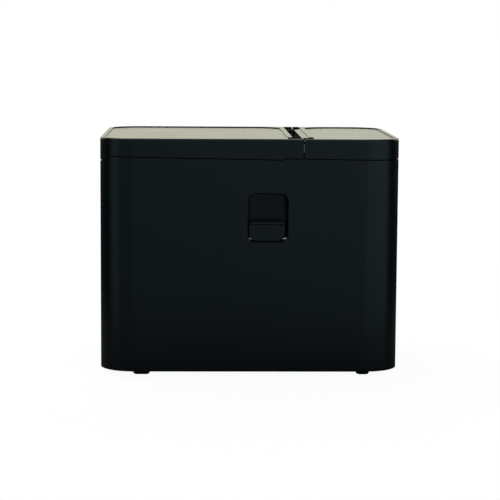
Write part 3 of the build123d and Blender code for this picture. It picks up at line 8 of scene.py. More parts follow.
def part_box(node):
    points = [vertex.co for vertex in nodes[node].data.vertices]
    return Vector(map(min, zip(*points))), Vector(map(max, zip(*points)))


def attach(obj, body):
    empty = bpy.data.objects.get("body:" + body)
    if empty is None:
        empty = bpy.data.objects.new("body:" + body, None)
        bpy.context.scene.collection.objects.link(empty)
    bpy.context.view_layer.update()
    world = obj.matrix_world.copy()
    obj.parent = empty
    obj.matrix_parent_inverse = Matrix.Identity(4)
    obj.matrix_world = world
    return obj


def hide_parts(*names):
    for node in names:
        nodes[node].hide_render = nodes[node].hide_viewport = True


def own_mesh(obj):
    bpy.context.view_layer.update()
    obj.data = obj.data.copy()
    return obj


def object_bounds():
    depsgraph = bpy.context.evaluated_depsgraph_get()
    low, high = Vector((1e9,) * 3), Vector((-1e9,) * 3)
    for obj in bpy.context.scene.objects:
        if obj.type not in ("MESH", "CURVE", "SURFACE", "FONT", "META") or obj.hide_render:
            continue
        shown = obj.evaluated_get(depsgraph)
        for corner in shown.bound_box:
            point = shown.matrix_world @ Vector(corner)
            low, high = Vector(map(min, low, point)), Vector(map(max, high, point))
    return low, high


# The printer's construction: every solid at its real size, in metres, with the
# paper exit upwards, the front at +X and the pull lever on the -Y side.
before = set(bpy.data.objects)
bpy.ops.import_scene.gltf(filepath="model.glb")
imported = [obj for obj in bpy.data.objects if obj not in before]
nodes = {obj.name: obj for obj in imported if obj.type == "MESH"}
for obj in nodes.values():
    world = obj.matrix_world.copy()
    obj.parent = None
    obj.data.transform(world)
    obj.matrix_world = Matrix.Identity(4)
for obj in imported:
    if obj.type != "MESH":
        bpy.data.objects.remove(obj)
cad_low, cad_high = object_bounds()

# Case: one deep box of black moulded plastic, open above and below. The tool is sparked,
# so the surface has a very fine grain and its gloss is a little uneven.
shell_black = (0.0036, 0.0062, 0.0085)
shell_roughness = 0.27
shell_grain = 0.0004
shell_grain_depth = 0.000006
patches_per_metre = 28.0
gloss_spread = 0.03
tints_per_metre = 60.0
tint_spread = 0.1


class Wire:
    """One value in a node tree; arithmetic on wires adds Math nodes."""

    def __init__(self, tree, socket):
        self.tree = tree
        self.socket = socket

    def maths(self, operation, *values):
        made = self.tree.nodes.new("ShaderNodeMath")
        made.operation = operation
        for place, value in enumerate(values):
            if isinstance(value, Wire):
                self.tree.links.new(value.socket, made.inputs[place])
            else:
                made.inputs[place].default_value = value
        return Wire(self.tree, made.outputs[0])

    def __add__(self, other):
        return self.maths("ADD", self, other)

    def __radd__(self, other):
        return self.maths("ADD", other, self)

    def __sub__(self, other):
        return self.maths("SUBTRACT", self, other)

    def __rsub__(self, other):
        return self.maths("SUBTRACT", other, self)

    def __mul__(self, other):
        return self.maths("MULTIPLY", self, other)

    def __rmul__(self, other):
        return self.maths("MULTIPLY", other, self)

    def above(self, level):
        """1 over the level, else 0."""
        return self.maths("GREATER_THAN", self, level)

    def below(self, level):
        """1 under the level, else 0."""
        return self.maths("LESS_THAN", self, level)

    def near(self, level, reach):
        """1 within reach of the level, else 0."""
        return self.maths("COMPARE", self, level, reach)

    def larger(self, other):
        return self.maths("MAXIMUM", self, other)

    def sine(self):
        return self.maths("SINE", self)


class Nodes:
    """A node tree under construction."""

    def __init__(self, tree):
        self.tree = tree

    def node(self, kind, settings=None, output=0, **sockets):
        """A node of any type: its settings first, then values or wires for its sockets.

        A socket goes by its name, with _ for a space, or by i and its number.
        """
        made = self.tree.nodes.new("ShaderNode" + kind)
        for name, value in (settings or {}).items():
            setattr(made, name, value)
        for name, value in sockets.items():
            numbered = name[0] == "i" and name[1:].isdigit()
            socket = made.inputs[int(name[1:])] if numbered else made.inputs[name.replace("_", " ")]
            if isinstance(value, Wire):
                self.tree.links.new(value.socket, socket)
            else:
                socket.default_value = value
        return Wire(self.tree, made.outputs[output])


class Finish(Nodes):
    """A material under construction, with its surface shader."""

    def __init__(self, name, color, roughness, metallic=0.0, specular=0.5):
        self.material = bpy.data.materials.new(name)
        self.material.use_nodes = True
        super().__init__(self.material.node_tree)
        self.surface = next(n for n in self.tree.nodes if n.type == "BSDF_PRINCIPLED")
        self.surface.inputs["Base Color"].default_value = (*color, 1.0)
        self.surface.inputs["Roughness"].default_value = roughness
        self.surface.inputs["Metallic"].default_value = metallic
        self.surface.inputs["Specular IOR Level"].default_value = specular

    def here(self):
        """Object coordinates, in metres."""
        return self.node("TexCoord", output=3)

    def place(self, stretch=(1.0, 1.0, 1.0)):
        """Object coordinates, stretched."""
        return self.node("Mapping", Vector=self.here(), Scale=stretch)

    def along(self, axis):
        """Distance along one of the object's axes, in metres."""
        return self.node("SeparateXYZ", output=axis, Vector=self.here())

    def mixed(self, factor, first, second):
        """Colour that goes from first to second with the factor."""
        ends = [end if isinstance(end, Wire) else (*end, 1.0) for end in (first, second)]
        return self.node("Mix", {"data_type": "RGBA"}, output=2, i0=factor, i6=ends[0], i7=ends[1])

    def feed(self, socket, wire):
        self.tree.links.new(wire.socket, self.surface.inputs[socket])

    def bump(self, height, depth):
        self.feed("Normal", self.node("Bump", Strength=1.0, Distance=depth, Height=height))

    def paint(self, *names):
        """Give this finish to nodes of the construction, or to pieces."""
        for name in names:
            piece = nodes[name] if isinstance(name, str) else name
            if not piece.material_slots:
                piece.data.materials.append(self.material)
            for material_slot in piece.material_slots:
                material_slot.link = "DATA"
                material_slot.material = self.material


def moulded(name, color, roughness, grain, depth, specular=0.5):
    """Moulded plastic: sparked grain, and patches that are a little glossier or duller."""
    made = Finish(name, color, roughness, specular=specular)
    where = made.place()
    fine = made.node("TexNoise", Vector=where, Scale=1.0 / grain, Detail=2.0, Roughness=0.6)
    wide = made.node("TexNoise", Vector=where, Scale=patches_per_metre, Detail=3.0, Roughness=0.55)
    made.feed("Roughness", wide * (2 * gloss_spread) + (roughness - gloss_spread))
    made.bump(fine, depth)
    tint = made.node("TexNoise", Vector=where, Scale=tints_per_metre, Detail=2.0)
    darker = tuple((1.0 - tint_spread) * part for part in color)
    lighter = tuple((1.0 + tint_spread) * part for part in color)
    made.feed("Base Color", made.mixed(tint, darker, lighter))
    return made


shell = moulded("shell_plastic", shell_black, shell_roughness, shell_grain, shell_grain_depth)
shell.paint("main_case")

# Covers: the paper cover behind the paper slot and the short front cover before it, of
# the same plastic, each one moulding with a sunk field and a flat rim. Near-black felt closes
# the split between them as painted shade, and a lip stands behind the seam on each side of the case.
shell.paint("rear_cover", "front_cover")


def linked(name, data):
    """A new object in the scene."""
    made = bpy.data.objects.new(name, data)
    bpy.context.scene.collection.objects.link(made)
    return made


def settle(name, data, finish, body, slot, *stands_for):
    """A finished piece from mesh data: painted, riding on its body, in place of nodes."""
    piece = linked(name, data)
    finish.paint(piece)
    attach(piece, body)
    if stands_for:
        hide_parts(*stands_for)
    return piece


def as_data(name, mesh):
    """Mesh data from a bmesh, which is used up."""
    data = bpy.data.meshes.new(name)
    mesh.to_mesh(data)
    mesh.free()
    return data


def fill(name, mesh, finish, body, slot, *stands_for):
    """A finished piece from a bmesh."""
    mesh.normal_update()
    return settle(name, as_data(name, mesh), finish, body, slot, *stands_for)


def middle_of(low, high):
    """The middle of a box, from its two corners."""
    return [(a + b) / 2 for a, b in zip(low, high)]


def bar(mesh, low, high, edge=0.0):
    """Adds a bar with broken edges to the bmesh."""
    made = bmesh.ops.create_cube(mesh, size=1.0)["verts"]
    middle = middle_of(low, high)
    size = [b - a for a, b in zip(low, high)]
    for vert in made:
        vert.co = Vector([middle[k] + vert.co[k] * size[k] for k in range(3)])
    if edge:
        edges = {each for vert in made for each in vert.link_edges}
        bmesh.ops.bevel(mesh, geom=list(edges), offset=edge, segments=2, affect="EDGES")


def prism(mesh, first, second):
    """Adds the closed skin between two loops of points that match one by one."""
    loops = [[mesh.verts.new(point) for point in loop] for loop in (first, second)]
    mesh.faces.new(loops[0])
    mesh.faces.new(list(reversed(loops[1])))
    for k in range(len(first)):
        after = (k + 1) % len(first)
        mesh.faces.new((loops[1][k], loops[1][after], loops[0][after], loops[0][k]))
    bmesh.ops.recalc_face_normals(mesh, faces=mesh.faces)


near_y, far_y = cad_low[1], cad_high[1]
lid_edge_x = 0.03195
shade_felt_thickness = 0.0005
shade_felt_edge = 0.0001
# Near-black matte felt for the dark pieces in the split, the slot, its pocket and behind the seams; in the
# split, slot and pocket it is painted shade.
shade_felt = moulded("painted_shade_felt", (0.002, 0.002, 0.002), 0.9, grain=0.0003, depth=0.00002, specular=0.1)

# Near-black felt in the split as painted shade, upright on the front cover's edge beyond each end of the
# slot, with a short bar, also painted shade, that closes the near end of the slot's ledge.
strip_inset, strip_reach = 0.0008, 0.0195
strip_low_z, strip_high_z = 0.1332, 0.1424
shade_strips = bmesh.new()
for y0, y1 in ((near_y + strip_inset, near_y + strip_reach), (far_y - strip_reach, far_y - strip_inset)):
    bar(shade_strips, (lid_edge_x - shade_felt_thickness, y0, strip_low_z), (lid_edge_x, y1, strip_high_z), shade_felt_edge)
ledge_shade_low = (lid_edge_x + 0.0001, near_y + 0.0194, 0.1423)
ledge_shade_high = (lid_edge_x + 0.0037, near_y + 0.02, 0.1433)
bar(shade_strips, ledge_shade_low, ledge_shade_high, shade_felt_edge)

# A thin lining of the same dark felt on the sloping guide under the slot's front lip, as painted shade.
lining_half = 0.0439
lining_thickness = 0.00015
lining_top_z, lining_low_z = 0.1408, 0.136
lining_low_x = 0.0301
shade_lining = [(lid_edge_x, lining_top_z), (lining_low_x, lining_low_z),
          (lining_low_x - lining_thickness, lining_low_z), (lid_edge_x - lining_thickness, lining_top_z)]
prism(shade_strips, *([(x, y, z) for x, z in shade_lining] for y in (-lining_half, lining_half)))
fill("split_strips", shade_strips, shade_felt, "front_lid", "inner_black")

# A near-black felt pad on the floor of the pocket at the slot's far end, as painted shade.
pad_low = (0.0257, far_y - 0.0199, 0.1421)
pad_high = (0.0312, far_y - 0.0032, 0.1423)
shade_pad = bmesh.new()
bar(shade_pad, pad_low, pad_high, 0.00005)
fill("pocket_felt", shade_pad, shade_felt, "paper_cover", "inner_black")

# A pale leaf of plastic in the split, seen edge-on from the lever side: a painted highlight, standing for
# the light seen in the split there.
highlight_plastic = moulded("painted_highlight_plastic", (0.42, 0.45, 0.46), 0.5, grain=0.0006, depth=0.000002)
highlight_leaf_low = (lid_edge_x - shade_felt_thickness, near_y + 0.0003, 0.1358)
highlight_leaf_high = (lid_edge_x, near_y + 0.0008, 0.1406)
highlight_leaf = bmesh.new()
bar(highlight_leaf, highlight_leaf_low, highlight_leaf_high, 0.00005)
fill("latch_leaf", highlight_leaf, highlight_plastic, "front_lid", "inner_black")

# A lip behind each side seam, which keeps light from shining through.
lip_half_length = 0.066
lip_outer_y, lip_inner_y = 0.0675, 0.0669
lip_low_z, lip_high_z = 0.1275, 0.1342
lips = bmesh.new()
for side in (-1, 1):
    y0, y1 = sorted((side * lip_outer_y, side * lip_inner_y))
    bar(lips, (-lip_half_length, y0, lip_low_z), (lip_half_length, y1, lip_high_z), shade_felt_edge)
fill("seam_lips", lips, shade_felt, "case", "inner_black")

# Pull lever in its finger well: the lever is moulded like the shell, and the well is a
# separate cup of plain black plastic fixed behind the window in the case's side.
shell.paint("release_lever")
well_black = (0.0030, 0.0052, 0.0066)
well = moulded("well_plastic", well_black, 0.3, grain=0.0006, depth=0.000006, specular=0.4)
well.paint("lever_housing")

# Base plate and feet: the plate closes the case below and is plain black moulded plastic,
# and the four feet are stuck-on pads of black rubber with a dull, slightly pitted face.
inner = moulded("inner_plastic", (0.022, 0.023, 0.025), 0.45, grain=0.0008, depth=0.00001, specular=0.4)
inner.paint("base_plate")
foot = moulded("foot_rubber", (0.003, 0.003, 0.003), 0.8, grain=0.0004, depth=0.00003, specular=0.2)
foot.paint("rubber_feet")

# Roll bay: the bucket that the paper roll lies in, and the liner under the paper cover,
# in dark grey plastic, with two optical paper sensors of glossier black.
inner.paint("inner_frame", "cover_liner")
sensor_plastic = moulded("sensor_plastic", (0.01, 0.01, 0.011), 0.3, grain=0.001, depth=0.000002)
sensor_plastic.paint("near_end_sensor", "paper_sensor")

# Mechanism frame: bent and punched sheet steel, zinc plated, with the lines of the
# rolling mill. The cutter's base and rails and the lock bracket are the same sheet.
clouds_per_metre = 45.0
cloud_shade = 0.93


def steel(name, color, roughness, stretch, lines=900.0, depth=0.000004, uneven=0.08):
    """Bare metal with faint lines from rolling, turning or grinding, drawn out one way."""
    made = Finish(name, color, roughness, metallic=1.0)
    streak = made.node("TexNoise", Vector=made.place(stretch), Scale=lines, Detail=2.0)
    cloud = made.node("TexNoise", Vector=made.place(), Scale=clouds_per_metre, Detail=2.0)
    made.feed("Roughness", streak * uneven + cloud * uneven + (roughness - uneven))
    made.feed("Base Color", made.mixed(cloud, tuple(cloud_shade * part for part in color), color))
    made.bump(streak, depth)
    return made


sheet_steel = steel("sheet_steel", (0.56, 0.57, 0.58), 0.36, stretch=(0.04, 1.0, 1.0))
sheet_steel.paint("mechanism_frame", "cutter_base", "lock_bracket")

# Posts, pivots and shafts: turned steel, smooth, with the rings of the lathe or grinder
# across their length.
turned_steel = steel("turned_steel", (0.66, 0.66, 0.65), 0.22, stretch=(0.2, 1.0, 0.2),
                     lines=2400.0, depth=0.000001, uneven=0.04)
turned_steel.paint("gear_posts", "gear_clips", "lock_pivots", "platen_shaft", "cutter_shaft",
                   "head_pin", "lever_pin", "rear_hinge_pins", "front_hinge_pins")

# Screws: pan heads with a cross recess and a rolled thread, zinc plated. They hold the base
# plate, the roll bay, the mechanism, the feed motor, the main board, the liner and the blade.
weld_distance = 1e-6
same_level = 1e-5
screw_sides = 28
pan_head = ((0.0, 1.0), (0.5, 1.0), (0.8, 0.93), (0.95, 0.68), (1.0, 0.3), (0.97, 0.0))
thread_pitch = 0.0005
thread_depth = 0.00018
tip_share = 0.6
recess_reach = 0.55
recess_web = 0.16
recess_depth = 0.55
recess_taper = 0.6
recess_top = 1.2
first_screw_seed = 3
plated = steel("plated_screws", (0.45, 0.46, 0.47), 0.32, stretch=(1.0, 1.0, 1.0),
               lines=1500.0, depth=0.000002)


def islands(name):
    """The loose parts of a node, as lists of points, in a fixed order."""
    mesh = bmesh.new()
    mesh.from_mesh(nodes[name].data)
    bmesh.ops.remove_doubles(mesh, verts=mesh.verts, dist=weld_distance)
    mesh.verts.ensure_lookup_table()
    seen = set()
    found = []
    for start in mesh.verts:
        if start.index in seen:
            continue
        seen.add(start.index)
        part = [start]
        for vert in part:
            for edge in vert.link_edges:
                other = edge.other_vert(vert)
                if other.index not in seen:
                    seen.add(other.index)
                    part.append(other)
        found.append([vert.co.copy() for vert in part])
    mesh.free()
    return sorted(found, key=lambda points: tuple(round(value, 5) for value in min(points, key=tuple)))


def extent(points):
    """The lowest and the highest corner of the box round some points."""
    return [Vector([limit(point[k] for point in points) for k in range(3)]) for limit in (min, max)]


def lathe(profile, steps=32):
    """Closed bmesh turned about Z from (radius, height) points, the first and last on the axis."""
    mesh = bmesh.new()
    rings = []
    for radius, height in profile:
        if radius < 1e-9:
            rings.append([mesh.verts.new((0.0, 0.0, height))])
        else:
            rings.append([mesh.verts.new((radius * math.cos(math.tau * k / steps),
                                          radius * math.sin(math.tau * k / steps), height))
                          for k in range(steps)])
    for lower, upper in zip(rings, rings[1:]):
        for k in range(steps):
            ring = [lower[k % len(lower)], lower[(k + 1) % len(lower)],
                    upper[(k + 1) % len(upper)], upper[k % len(upper)]]
            ring = list(dict.fromkeys(ring))
            if len(ring) > 2:
                mesh.faces.new(ring)
    bmesh.ops.recalc_face_normals(mesh, faces=mesh.faces)
    return mesh


def flattened(shown, *helpers):
    """The shown object with its modifiers applied, as mesh data; the objects are removed."""
    data = bpy.data.meshes.new_from_object(shown.evaluated_get(bpy.context.evaluated_depsgraph_get()))
    for each in (shown, *helpers):
        bpy.data.objects.remove(each)
    return data


def screw_mesh(name, head_radius, head_height, shaft_radius, shaft_length):
    """Pan-head screw that points down, with its seat at the origin."""
    profile = [(across * head_radius, up * head_height) for across, up in pan_head]
    root = shaft_radius - thread_depth
    height = 0.0
    for _ in range(int((shaft_length - 2 * thread_pitch) / thread_pitch)):
        profile.append((root, height))
        profile.append((shaft_radius, height - 0.5 * thread_pitch))
        height -= thread_pitch
    profile += [(root, height), (tip_share * shaft_radius, -shaft_length), (0.0, -shaft_length)]
    solid = linked(name, as_data(name, lathe(profile, screw_sides)))
    reach, web = recess_reach * head_radius, recess_web * head_radius
    outline = []
    arm = [(reach, -web), (reach, web), (web, web)]
    for _ in range(4):
        outline += arm
        arm = [(-y, x) for x, y in arm]
    recess_floor = (1.0 - recess_depth) * head_height
    recess = bmesh.new()
    prism(recess, [(x, y, recess_top * head_height) for x, y in outline],
          [(recess_taper * x, recess_taper * y, recess_floor) for x, y in outline])
    tool = linked(name + "_recess", as_data(name + "_recess", recess))
    cut = solid.modifiers.new("recess", "BOOLEAN")
    cut.object = tool
    cut.solver = "EXACT"
    return flattened(solid, tool)


def placing_group():
    """Geometry Nodes: a piece on every point, turned as the point says and spun at random."""
    group = bpy.data.node_groups.new("pieces_on_points", "GeometryNodeTree")
    for name, kind in (("Points", "NodeSocketGeometry"), ("Piece", "NodeSocketObject"),
                       ("Seed", "NodeSocketInt"), ("Material", "NodeSocketMaterial")):
        group.interface.new_socket(name, in_out="INPUT", socket_type=kind)
    group.interface.new_socket("Pieces", in_out="OUTPUT", socket_type="NodeSocketGeometry")
    made = {name: group.nodes.new(kind) for name, kind in (
        ("given", "NodeGroupInput"), ("result", "NodeGroupOutput"), ("piece", "GeometryNodeObjectInfo"),
        ("put", "GeometryNodeInstanceOnPoints"), ("turn", "GeometryNodeInputNamedAttribute"),
        ("euler", "FunctionNodeEulerToRotation"), ("spin", "FunctionNodeRandomValue"),
        ("axis", "ShaderNodeCombineXYZ"), ("spin_euler", "FunctionNodeEulerToRotation"),
        ("both", "FunctionNodeRotateRotation"), ("real", "GeometryNodeRealizeInstances"),
        ("paint", "GeometryNodeSetMaterial"))}
    made["turn"].data_type = "FLOAT_VECTOR"
    made["turn"].inputs["Name"].default_value = "turn"
    made["both"].rotation_space = "LOCAL"
    made["spin"].data_type = "FLOAT"
    made["spin"].inputs[3].default_value = math.pi
    links = (("given", 0, "put", "Points"), ("given", 1, "piece", "Object"),
             ("piece", "Geometry", "put", "Instance"), ("turn", "Attribute", "euler", 0),
             ("given", 2, "spin", "Seed"), ("spin", 1, "axis", "Z"), ("axis", 0, "spin_euler", 0),
             ("euler", 0, "both", 0), ("spin_euler", 0, "both", 1), ("both", 0, "put", "Rotation"),
             ("put", 0, "real", 0), ("real", 0, "paint", "Geometry"), ("given", 3, "paint", "Material"),
             ("paint", 0, "result", 0))
    for source, out_name, target, in_name in links:
        group.links.new(made[source].outputs[out_name], made[target].inputs[in_name])
    return group


pieces_on_points = placing_group()


def on_points(name, places, piece_data, finish, seed):
    """Mesh with one copy of the piece at each (point, Euler turn)."""
    points = bpy.data.meshes.new(name)
    points.from_pydata([tuple(point) for point, turn in places], [], [])
    turns = points.attributes.new("turn", "FLOAT_VECTOR", "POINT")
    for index, (point, turn) in enumerate(places):
        turns.data[index].vector = turn
    holder = linked(name, points)
    piece = linked(name + "_one", piece_data)
    spread = holder.modifiers.new("place", "NODES")
    spread.node_group = pieces_on_points
    given = {item.name: item.identifier for item in pieces_on_points.interface.items_tree
             if item.item_type == "SOCKET" and item.in_out == "INPUT"}
    spread[given["Piece"]] = piece
    spread[given["Seed"]] = seed
    spread[given["Material"]] = finish.material
    return flattened(holder, piece)


def dress_screws(name, body, seed):
    """Real screws in place of a node's plain ones, read from where its screws are."""
    places = []
    for points in islands(name):
        low, high = extent(points)
        size = high - low
        axis = min(range(3), key=lambda k: abs(size[(k + 1) % 3] - size[(k + 2) % 3]))
        middle = (low + high) / 2
        radius = size[(axis + 1) % 3] / 2

        def off_axis(point):
            return math.hypot(*(point[k] - middle[k] for k in range(3) if k != axis))

        wide = [point[axis] for point in points if off_axis(point) > 0.9 * radius]
        head_up = max(wide) > high[axis] - same_level
        tip = (low if head_up else high)[axis]
        thin = [off_axis(point) for point in points if abs(point[axis] - tip) < same_level]
        heading = Vector((0.0, 0.0, 0.0))
        heading[axis] = 1.0 if head_up else -1.0
        seat = middle.copy()
        seat[axis] = min(wide) if head_up else max(wide)
        turn = Vector((0.0, 0.0, 1.0)).rotation_difference(heading).to_euler()
        places.append((seat, tuple(turn)))
        sizes = (radius, max(wide) - min(wide), max(thin), size[axis] - max(wide) + min(wide))
    mesh = screw_mesh(name + "_one", *sizes)
    data = on_points(name + "_set", places, mesh, plated, seed)
    return settle(name + "_set", data, plated, body, "screw_steel", name)


screw_sets = (("base_screws", "case"), ("frame_screws", "case"), ("deck_screws", "case"),
              ("motor_screws", "case"), ("board_screws", "case"), ("liner_screws", "paper_cover"),
              ("blade_screws", "paper_cover"))
for seed, (screw_node, screw_body) in enumerate(screw_sets, first_screw_seed):
    dress_screws(screw_node, screw_body, seed)

# Feed motor and gear train: a plated motor can with a brass pinion, and spur gears
# and bushes of unfilled natural acetal, with the soft sheen of that plastic.
can_steel = steel("motor_can", (0.6, 0.61, 0.6), 0.3, stretch=(1.0, 0.1, 1.0), lines=700.0, depth=0.000002)
can_steel.paint("feed_motor", "cutter_motor")
brass = steel("turned_brass", (0.6, 0.42, 0.16), 0.3, stretch=(1.0, 0.2, 1.0), lines=2000.0, depth=0.000001)
brass.paint("motor_pinion", "cutter_pinion")
acetal = moulded("gear_plastic", (0.62, 0.6, 0.54), 0.38, grain=0.001, depth=0.000004)
acetal.surface.inputs["Subsurface Weight"].default_value = 0.08
acetal.surface.inputs["Subsurface Radius"].default_value = (0.001, 0.001, 0.0008)
acetal.paint("platen_gear", "idler_gear", "reduction_gear", "cutter_gear", "platen_bushes")

# Platen: soft black rubber moulded on the steel shaft and ground round, so it has very
# fine rings from end to end and a dull face.
platen = Finish("platen_rubber", (0.02, 0.02, 0.021), 0.7, specular=0.3)
rings = platen.node("TexNoise", Vector=platen.place((0.05, 1.0, 0.05)), Scale=2500.0, Detail=1.0)
platen.feed("Roughness", rings * 0.12 + 0.62)
platen.bump(rings, 0.00001)
platen.paint("platen_roller")

# Print head: a glazed ceramic strip stuck to an extruded aluminium bar, with a dark line of
# heating dots, a comb of gold leads and a bead of black resin over its drivers. Each band is
# given by its middle and half its width, as shares of the strip's height.
glaze = (0.6, 0.56, 0.48)
lead_gold = (0.66, 0.5, 0.24)
dot_brown = (0.16, 0.1, 0.06)
resin_black = (0.006, 0.006, 0.007)
resin_band = (0.22, 0.14)
lead_band = (0.48, 0.13)
dot_band = (0.64, 0.02)
lead_waves = 8000.0
strip_low, strip_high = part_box("print_head")
strip = Finish("glazed_strip", glaze, 0.16)
strip_height = (strip.along(2) - strip_low[2]) * (1.0 / (strip_high[2] - strip_low[2]))
resin = strip_height.near(*resin_band)
dots = strip_height.near(*dot_band)
leads = (strip.along(1) * lead_waves).sine().above(0.2) * strip_height.near(*lead_band)
strip_color = strip.mixed(leads, glaze, lead_gold)
strip_color = strip.mixed(dots, strip_color, dot_brown)
strip.feed("Base Color", strip.mixed(resin, strip_color, resin_black))
strip.feed("Roughness", resin * 0.2 + dots * 0.1 + 0.14)
strip.feed("Metallic", leads * 0.8)
strip.paint("print_head")
extruded = steel("extruded_aluminium", (0.72, 0.73, 0.74), 0.4, stretch=(1.0, 0.03, 1.0), lines=800.0)
extruded.paint("head_heatsink")

# Springs: wound from bright music wire. Two coils press the head against the platen and
# shorten as it tilts back, and a small torsion coil on the lock's pivot pulls its hooks shut.
wire_radius = 0.0003
coil_turns = 7
coil_steps = 20
closed_pitch = 2.2 * wire_radius
spring_steel = steel("spring_wire", (0.6, 0.6, 0.59), 0.25, stretch=(1.0, 1.0, 1.0),
                     lines=3000.0, depth=0.000001, uneven=0.05)
spring_steel.paint("lock_spring")


def wound(name, path):
    """Mesh of the spring wire along a path."""
    curve = bpy.data.curves.new(name, "CURVE")
    curve.dimensions = "3D"
    curve.bevel_depth = wire_radius
    curve.bevel_resolution = 3
    curve.use_fill_caps = True
    line = curve.splines.new("POLY")
    line.points.add(len(path) - 1)
    for point, place in zip(line.points, path):
        point.co = (*place, 1.0)
    return flattened(linked(name, curve))


def clipped(share):
    return min(max(share, 0.0), 1.0)


both_springs = bmesh.new()
for points in islands("head_springs"):
    low, high = extent(points)
    middle_y, middle_z = middle_of(low, high)[1:]
    radius = (high[2] - low[2]) / 2 - wire_radius
    length = high[0] - low[0] - 2 * wire_radius
    path = []
    for step in range(coil_turns * coil_steps + 1):
        turned = step / (coil_turns * coil_steps) * coil_turns
        eased = clipped((turned - 1.0) / (coil_turns - 2.0))
        x = low[0] + wire_radius + closed_pitch * clipped(turned) + (length - 2 * closed_pitch) * eased
        x += closed_pitch * clipped(turned - coil_turns + 1.0)
        path.append((x, middle_y + radius * math.cos(math.tau * step / coil_steps),
                     middle_z + radius * math.sin(math.tau * step / coil_steps)))
    both_springs.from_mesh(wound("head_spring", path))
coils = fill("head_spring_coils", both_springs, spring_steel, "case", "hard_steel", "head_springs")
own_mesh(coils)

# Cutter: a fixed blade on the paper cover and a sliding one with a shallow vee, both ground
# and hardened. The sliding one rides on a plastic carriage with a rack, which a small motor
# drives through a cross shaft.
ground = steel("ground_steel", (0.68, 0.68, 0.67), 0.2, stretch=(0.3, 0.02, 1.0),
               lines=1600.0, depth=0.000002, uneven=0.05)
ground.paint("fixed_blade", "cutter_blade")
inner.paint("cutter_carriage")

# Boards: green glass-epoxy boards with copper tracks under the solder mask. The main board
# lies on the base plate with its chips, capacitors and small parts soldered on top, and
# the small one stands behind the buttons.
track_width, fine_track_width = 0.09, 0.05
mask = Finish("board_green", (0.006, 0.06, 0.022), 0.3)
cells = mask.node("TexVoronoi", {"feature": "DISTANCE_TO_EDGE"}, Vector=mask.place(),
                  Scale=190.0, Randomness=0.35)
fine_cells = mask.node("TexVoronoi", {"feature": "DISTANCE_TO_EDGE"}, Vector=mask.place(),
                       Scale=420.0, Randomness=0.2)
tracks = cells.below(track_width).larger(fine_cells.below(fine_track_width))
mask.feed("Base Color", mask.mixed(tracks, (0.004, 0.045, 0.016), (0.012, 0.105, 0.035)))
mask.feed("Roughness", tracks * 0.1 + 0.24)
mask.bump(tracks, 0.00003)
mask.paint("main_board", "key_board")
chip_black = moulded("chip_resin", (0.012, 0.012, 0.013), 0.45, grain=0.0005, depth=0.000004)
tinned = steel("tinned_legs", (0.62, 0.62, 0.6), 0.3, stretch=(1.0, 1.0, 1.0))
ceramic_tan = moulded("capacitor_ceramic", (0.36, 0.25, 0.15), 0.35, grain=0.001, depth=0.000002)
sleeve_black = moulded("capacitor_sleeve", (0.01, 0.011, 0.02), 0.3, grain=0.001, depth=0.000002)
board_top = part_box("main_board")[1][2]
stand_off = 0.0001

# Chips, in millimetres: place on the board, length, width, top above the board, leg pitch.
chip_list = ((-20.0, -14.0, 14.0, 14.0, 1.4, 0.8), (-20.0, 12.0, 10.0, 10.0, 1.4, 0.8),
             (-44.0, -18.0, 10.0, 6.0, 1.5, 1.27), (8.0, -20.0, 8.0, 5.0, 1.5, 1.27),
             (8.0, 4.0, 8.0, 5.0, 1.5, 1.27), (30.0, -8.0, 10.0, 6.0, 1.5, 1.27))
leg_half_width, leg_reach, leg_height = 0.00015, 0.001, 0.00018
chips = bmesh.new()
legs = bmesh.new()
for chip in chip_list:
    x, y, long, wide, top, pitch = (value / 1000 for value in chip)
    bar(chips, (x - long / 2, y - wide / 2, board_top + stand_off),
        (x + long / 2, y + wide / 2, board_top + top), 0.0002)
    leg_count = int((long - pitch) / pitch)
    for step in range(leg_count):
        leg_x = x + (step - (leg_count - 1) / 2) * pitch
        for side in (-1, 1):
            y0, y1 = sorted((y + side * wide / 2, y + side * (wide / 2 + leg_reach)))
            bar(legs, (leg_x - leg_half_width, y0, board_top),
                (leg_x + leg_half_width, y1, board_top + leg_height))
fill("board_chips", chips, chip_black, "case", "socket_black")
fill("board_chip_legs", legs, tinned, "case", "socket_steel")

# Capacitors, in millimetres: place on the board, radius, height. Each can is crimped near its foot.
can_list = ((-52.0, 30.0, 4.0, 10.0), (-42.0, 30.0, 4.0, 10.0), (-4.0, 30.0, 3.15, 7.0),
            (36.0, 20.0, 3.15, 7.0), (44.0, 20.0, 3.15, 7.0))
cans = bmesh.new()
for x, y, radius, rise in can_list:
    can = lathe([(0.0, 0.0), (radius, 0.0), (radius, 0.8), (0.93 * radius, 1.2), (radius, 1.7),
                 (radius, rise - 0.5), (radius - 0.4, rise), (0.0, rise - 0.1)])
    bmesh.ops.scale(can, vec=(0.001, 0.001, 0.001), verts=can.verts)
    bmesh.ops.translate(can, vec=(x / 1000, y / 1000, board_top + stand_off), verts=can.verts)
    cans.from_mesh(as_data("can", can))
fill("board_capacitors", cans, sleeve_black, "case", "socket_black")

# Small parts, in millimetres on the board: every other one lies crosswise.
small_list = ((-33, -22), (-33, -18), (-33, -10), (-33, -6), (-6, -22), (-6, -16), (-6, -8),
              (-6, 2), (-6, 8), (-28, 22), (-22, 22), (-16, 22), (16, -30), (20, -26),
              (24, -22), (18, 10), (24, 14), (40, -20), (44, -14), (40, 2), (44, 8))
small_seed = 11
small = bmesh.new()
bar(small, (-0.0008, -0.0004, 0.0), (0.0008, 0.0004, 0.0006), 0.0001)
small_places = [((x / 1000, y / 1000, board_top), (0.0, 0.0, 0.0 if (x + y) % 2 else math.pi / 2))
                for x, y in small_list]
small_data = as_data("small_part", small)
small_set = on_points("board_small_parts", small_places, small_data, ceramic_tan, small_seed)
settle("board_small_parts", small_set, ceramic_tan, "case", "socket_black")

